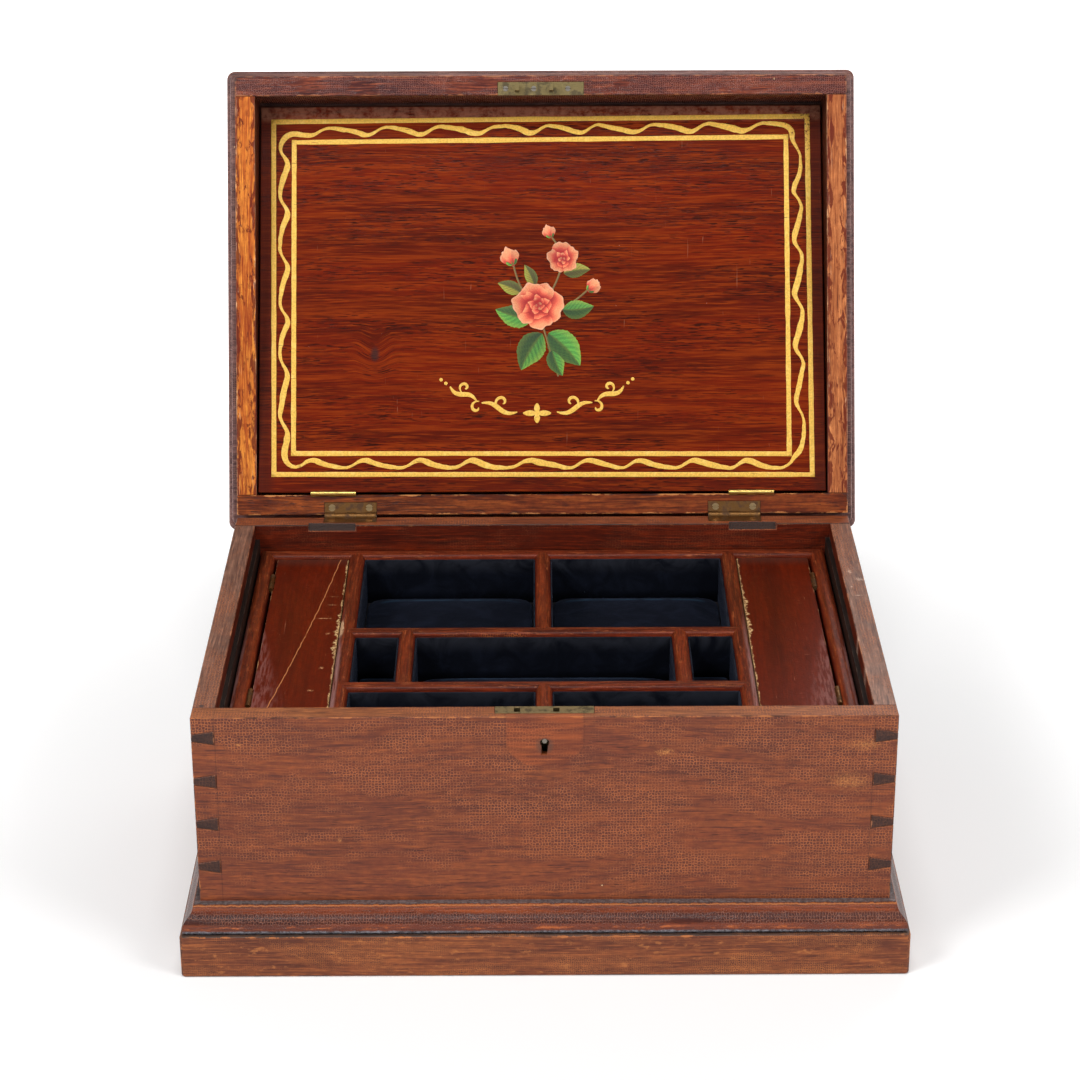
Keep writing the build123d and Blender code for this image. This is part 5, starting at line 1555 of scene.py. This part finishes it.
def ring_of_velvet(middle, half, z_span, thickness, seed):
    """Velvet on four walls: a thin section with a rolled top carried round a compartment, and puckered."""
    turns = np.array(((-1, -1), (1, -1), (1, 1), (-1, 1)))
    path = rounded_loop(middle + turns * (half - thickness * 0.02), 0.0012, 0.0012)[:-1]
    run = np.roll(path, -1, axis=0) - np.roll(path, 1, axis=0)
    run /= np.linalg.norm(run, axis=1)[:, None]
    inwards = np.column_stack((-run[:, 1], run[:, 0]))
    height = z_span[1] - z_span[0]
    roll = np.linspace(0, pi, 9)
    out = np.concatenate(([0.02] * 2, 0.5 - 0.48 * np.cos(roll), [0.98] * 4))
    rolled = height - thickness * 0.6 + thickness * 0.6 * np.sin(roll)
    rise = np.concatenate(([0, 0.6 * height], rolled, np.array((0.8, 0.55, 0.3, 0)) * height))
    along = np.linspace(0, 2 * pi, len(path), endpoint=False)
    pucker = np.zeros((len(path), len(out)))
    bank = np.random.default_rng(seed)
    for waves, shift in zip(bank.integers(5, 34, 8), bank.uniform(0, 2 * pi, 8)):
        pucker += np.sin(waves * along + shift)[:, None] * np.sin(np.linspace(0, 3, len(out)))[None, :]
    inner = (np.arange(len(out)) > 6).astype(float)
    reach = thickness * out[None, :] - 0.00004 * np.abs(pucker) * inner[None, :]
    flat = path[:, None, :] + inwards[:, None, :] * reach[..., None]
    levels = np.broadcast_to(z_span[0] + rise, reach.shape)
    grid = np.concatenate((flat, levels[..., None]), axis=-1)
    return np.concatenate((grid, grid[:1]))


# How far the linings stand outside their pads, and how thick they are
LINING_GAP, LINING_THICKNESS = 0.0013, 0.001


class LineWithVelvet(bpy.types.Operator):
    """Line the seven compartments with velvet and lay a crowned pad in each"""

    bl_idname = "writing_box.velvet"
    bl_label = "Velvet"

    def execute(self, context):
        sizes, colours = context.scene.box_sizes, context.scene.box_colours
        velvet = velvet_material("navy_velvet", tuple(colours.velvet))
        pads = sorted(node for node in nodes if node.startswith("pad_"))
        linings = []
        z_span = [corner[2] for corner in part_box("velvet_linings")]
        for seed, node in enumerate(pads):
            velvet_pad(node, sizes, velvet, 40 + seed)
            low, high = (np.array(corner[:2]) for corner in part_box(node))
            half = (high - low) / 2 + LINING_GAP
            grid = ring_of_velvet((low + high) / 2, half, z_span, LINING_THICKNESS, 60 + seed)
            linings.append(grid_piece("lining", grid, close_across=True))
        lining = join_pieces("velvet_wall_linings", linings)
        settle(outward(lining, close=True), "velvet_linings", velvet)
        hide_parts("velvet_linings")
        return {"FINISHED"}


# Brass and steel


class DressMetal(bpy.types.Operator):
    """Dress the lock, the link plate, the hinges and the screws"""

    bl_idname = "writing_box.metal"
    bl_label = "Brass and Steel"

    def execute(self, context):
        hinge_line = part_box("case_back")[1][2] + 0.03
        yellow_below = (hinge_line, tone(196, 166, 122))
        brass = tuple(context.scene.box_colours.brass)
        dull = metal_material("dull_brass", brass, tone(64, 54, 34), 0.42, 0.75)
        brown = metal_material("brown_brass", tone(124, 88, 50), tone(72, 46, 28), 0.46, 0.7)
        bright = metal_material("bright_brass", tone(224, 190, 108), tone(150, 108, 52), 0.28, 0.25)
        steel = metal_material("worn_steel", tone(176, 168, 158), tone(84, 66, 52), 0.32, 0.4, yellow_below)
        old_screw = metal_material("old_screw", tone(146, 106, 62), tone(70, 46, 30), 0.38, 0.5)
        dark_pin = metal_material("dark_pin", tone(130, 122, 112), tone(60, 50, 44), 0.4, 0.4)
        flap_hinges = [node for node in nodes if node.startswith("flap_hinge")]
        leaves = [node for node in nodes if node.endswith("_leaves") and node not in flap_hinges]
        for material, dressed in (
            (dull, ("lock_case", "link_plate", "lock_bolt")),
            (bright, flap_hinges),
            (brown, (*leaves, "till_hinge_pins")),
            (steel, ("lid_screws",)),
            (old_screw, ("case_screws", "flap_screws")),
            (dark_pin, ("hinge_pins", "lock_drill_pin")),
        ):
            for node in dressed:
                give(nodes[node], material)
        return {"FINISHED"}


# Stage


# The camera, fitted to the photograph: its place in metres, its turns in degrees and its lens in pixels
CAMERA_PLACE = (-0.0049, -1.4703, 0.8349)
CAMERA_PITCH, CAMERA_YAW, CAMERA_ROLL = -23.607, 0.121, -0.178
FOCAL_PIXELS, PHOTO_PIXELS = 2894.1, 1080.0
SENSOR = 36.0

# The lamps: where each stands, its size and its power. All of them look at one point in the box
LAMP_AIM = Vector((0, 0, 0.12))
LAMPS = {
    "key_lamp": ((-1.5, -1.3, 1.9), 0.9, 34),
    "fill_lamp": ((1.7, -1.3, 1.8), 0.9, 24),
    "top_lamp": ((0.0, -0.8, 2.6), 0.9, 26),
    "rear_lamp": ((0.5, 2.0, 1.7), 1.2, 16),
}
# The floor: how far it reaches, how little it lies under the box, and its grey
FLOOR_REACH, FLOOR_DROP, FLOOR_GREY = 6.0, 0.0002, 0.80
# The glow that it has for the camera: near the box, and what is added further off, from one distance to another
NEAR_GLOW, FAR_GLOW, FADE = 0.14, 0.8, (0.22, 0.9)


def soft_lamp(name, place, size, power):
    """A square area lamp that looks at the box."""
    data = bpy.data.lights.new(name, "AREA")
    data.shape = "SQUARE"
    data.size = size
    data.energy = power
    lamp = linked(name, data)
    lamp.location = place
    lamp.rotation_euler = (LAMP_AIM - Vector(place)).to_track_quat("-Z", "Y").to_euler()


class SetStage(bpy.types.Operator):
    """Set the white floor, the soft lamps and the camera"""

    bl_idname = "writing_box.stage"
    bl_label = "Stage"

    def execute(self, context):
        scene = context.scene
        scene.view_settings.view_transform = "Standard"
        set_floor()
        set_world(scene)
        for name, lamp in LAMPS.items():
            soft_lamp(name, *lamp)
        set_camera(scene)
        return {"FINISHED"}


def set_floor():
    """A wide white floor that keeps the box's shadow. The camera and mirrors see it as white further off."""
    span = (-FLOOR_REACH, FLOOR_REACH)
    x, y = np.meshgrid(span, span, indexing="ij")
    floor = grid_piece("floor", np.stack((x, y, np.full_like(x, -FLOOR_DROP)), axis=-1))
    material, g, shader, place, _ = start_material("white_floor")
    g.fed(shader, ("Base Color", "Roughness", "Specular IOR Level"), ((FLOOR_GREY,) * 3, 0.9, 0.1))
    path = g.add("ShaderNodeLightPath").outputs
    mirrored = g.math("MAXIMUM", path["Is Glossy Ray"], path["Is Transmission Ray"])
    seen = g.math("MAXIMUM", path["Is Camera Ray"], mirrored)
    away = g.rise(g.math("LENGTH", place), *FADE)
    g.fed(shader, ("Emission Color", "Emission Strength"), ((1, 1, 1), seen * (NEAR_GLOW + away * FAR_GLOW)))
    floor.data.materials.append(material)


def set_world(scene):
    """A plain world, white about the horizon and dimmer overhead, the same for every ray."""
    world = bpy.data.worlds.new("plain_white")
    scene.world = world
    world.use_nodes = True
    g = Graph(world.node_tree)
    background = world.node_tree.nodes["Background"]
    background.inputs["Color"].default_value = (1, 1, 1, 1)
    _, _, height = g.split(g.add("ShaderNodeTexCoord").outputs["Generated"])
    g.feed(background.inputs["Strength"], 0.18 + g.fall(height, 0.1, 0.28) * 0.82)


def set_camera(scene):
    """The camera where the photograph was taken from, with the lens that gives its field of view."""
    data = bpy.data.cameras.new("camera")
    data.sensor_fit = "HORIZONTAL"
    data.sensor_width = SENSOR
    data.lens = FOCAL_PIXELS / PHOTO_PIXELS * SENSOR
    data.dof.use_dof = False
    camera = linked("camera", data)
    pitch, yaw, roll = (radians(turn) for turn in (CAMERA_PITCH, CAMERA_YAW, CAMERA_ROLL))
    forward = Vector((sin(yaw) * cos(pitch), cos(yaw) * cos(pitch), sin(pitch)))
    level = Vector((cos(yaw), -sin(yaw), 0))
    upright = level.cross(forward)
    right = level * cos(roll) + upright * sin(roll)
    camera.matrix_world = frame_matrix(Vector(CAMERA_PLACE), right, -forward)
    scene.camera = camera


class BoxPanel(bpy.types.Panel):
    """Lists the box's sizes, colours and pieces"""

    bl_idname = "VIEW3D_PT_writing_box"
    bl_label = "Writing Box"
    bl_space_type = "VIEW_3D"
    bl_region_type = "UI"
    bl_category = "Writing Box"

    def draw(self, context):
        for group, owner in (("box_sizes", BoxSizes), ("box_colours", BoxColours)):
            column = self.layout.column()
            for name in owner.__annotations__:
                column.prop(getattr(context.scene, group), name)
        for operator in OPERATORS:
            self.layout.operator(operator.bl_idname)


OPERATORS = (
    SetStage, DressCase, DressPlinth, DressLid, DressFlap, PaintBorder, PaintOrnament, DressTill,
    LineWithVelvet, DressMetal,
)
CLASSES = (BoxSizes, BoxColours, *OPERATORS, BoxPanel)


def register():
    """Registers the classes and hangs the sizes and colours on the scene."""
    for owner in CLASSES:
        bpy.utils.register_class(owner)
    bpy.types.Scene.box_sizes = bpy.props.PointerProperty(type=BoxSizes)
    bpy.types.Scene.box_colours = bpy.props.PointerProperty(type=BoxColours)


def unregister():
    """Takes the classes and the scene's properties away again."""
    del bpy.types.Scene.box_colours
    del bpy.types.Scene.box_sizes
    for owner in reversed(CLASSES):
        bpy.utils.unregister_class(owner)


def main():
    """Makes the whole dressed box."""
    register()
    for operator in OPERATORS:
        section, name = operator.bl_idname.split(".")
        getattr(getattr(bpy.ops, section), name)()


if __name__ == "__main__":
    main()
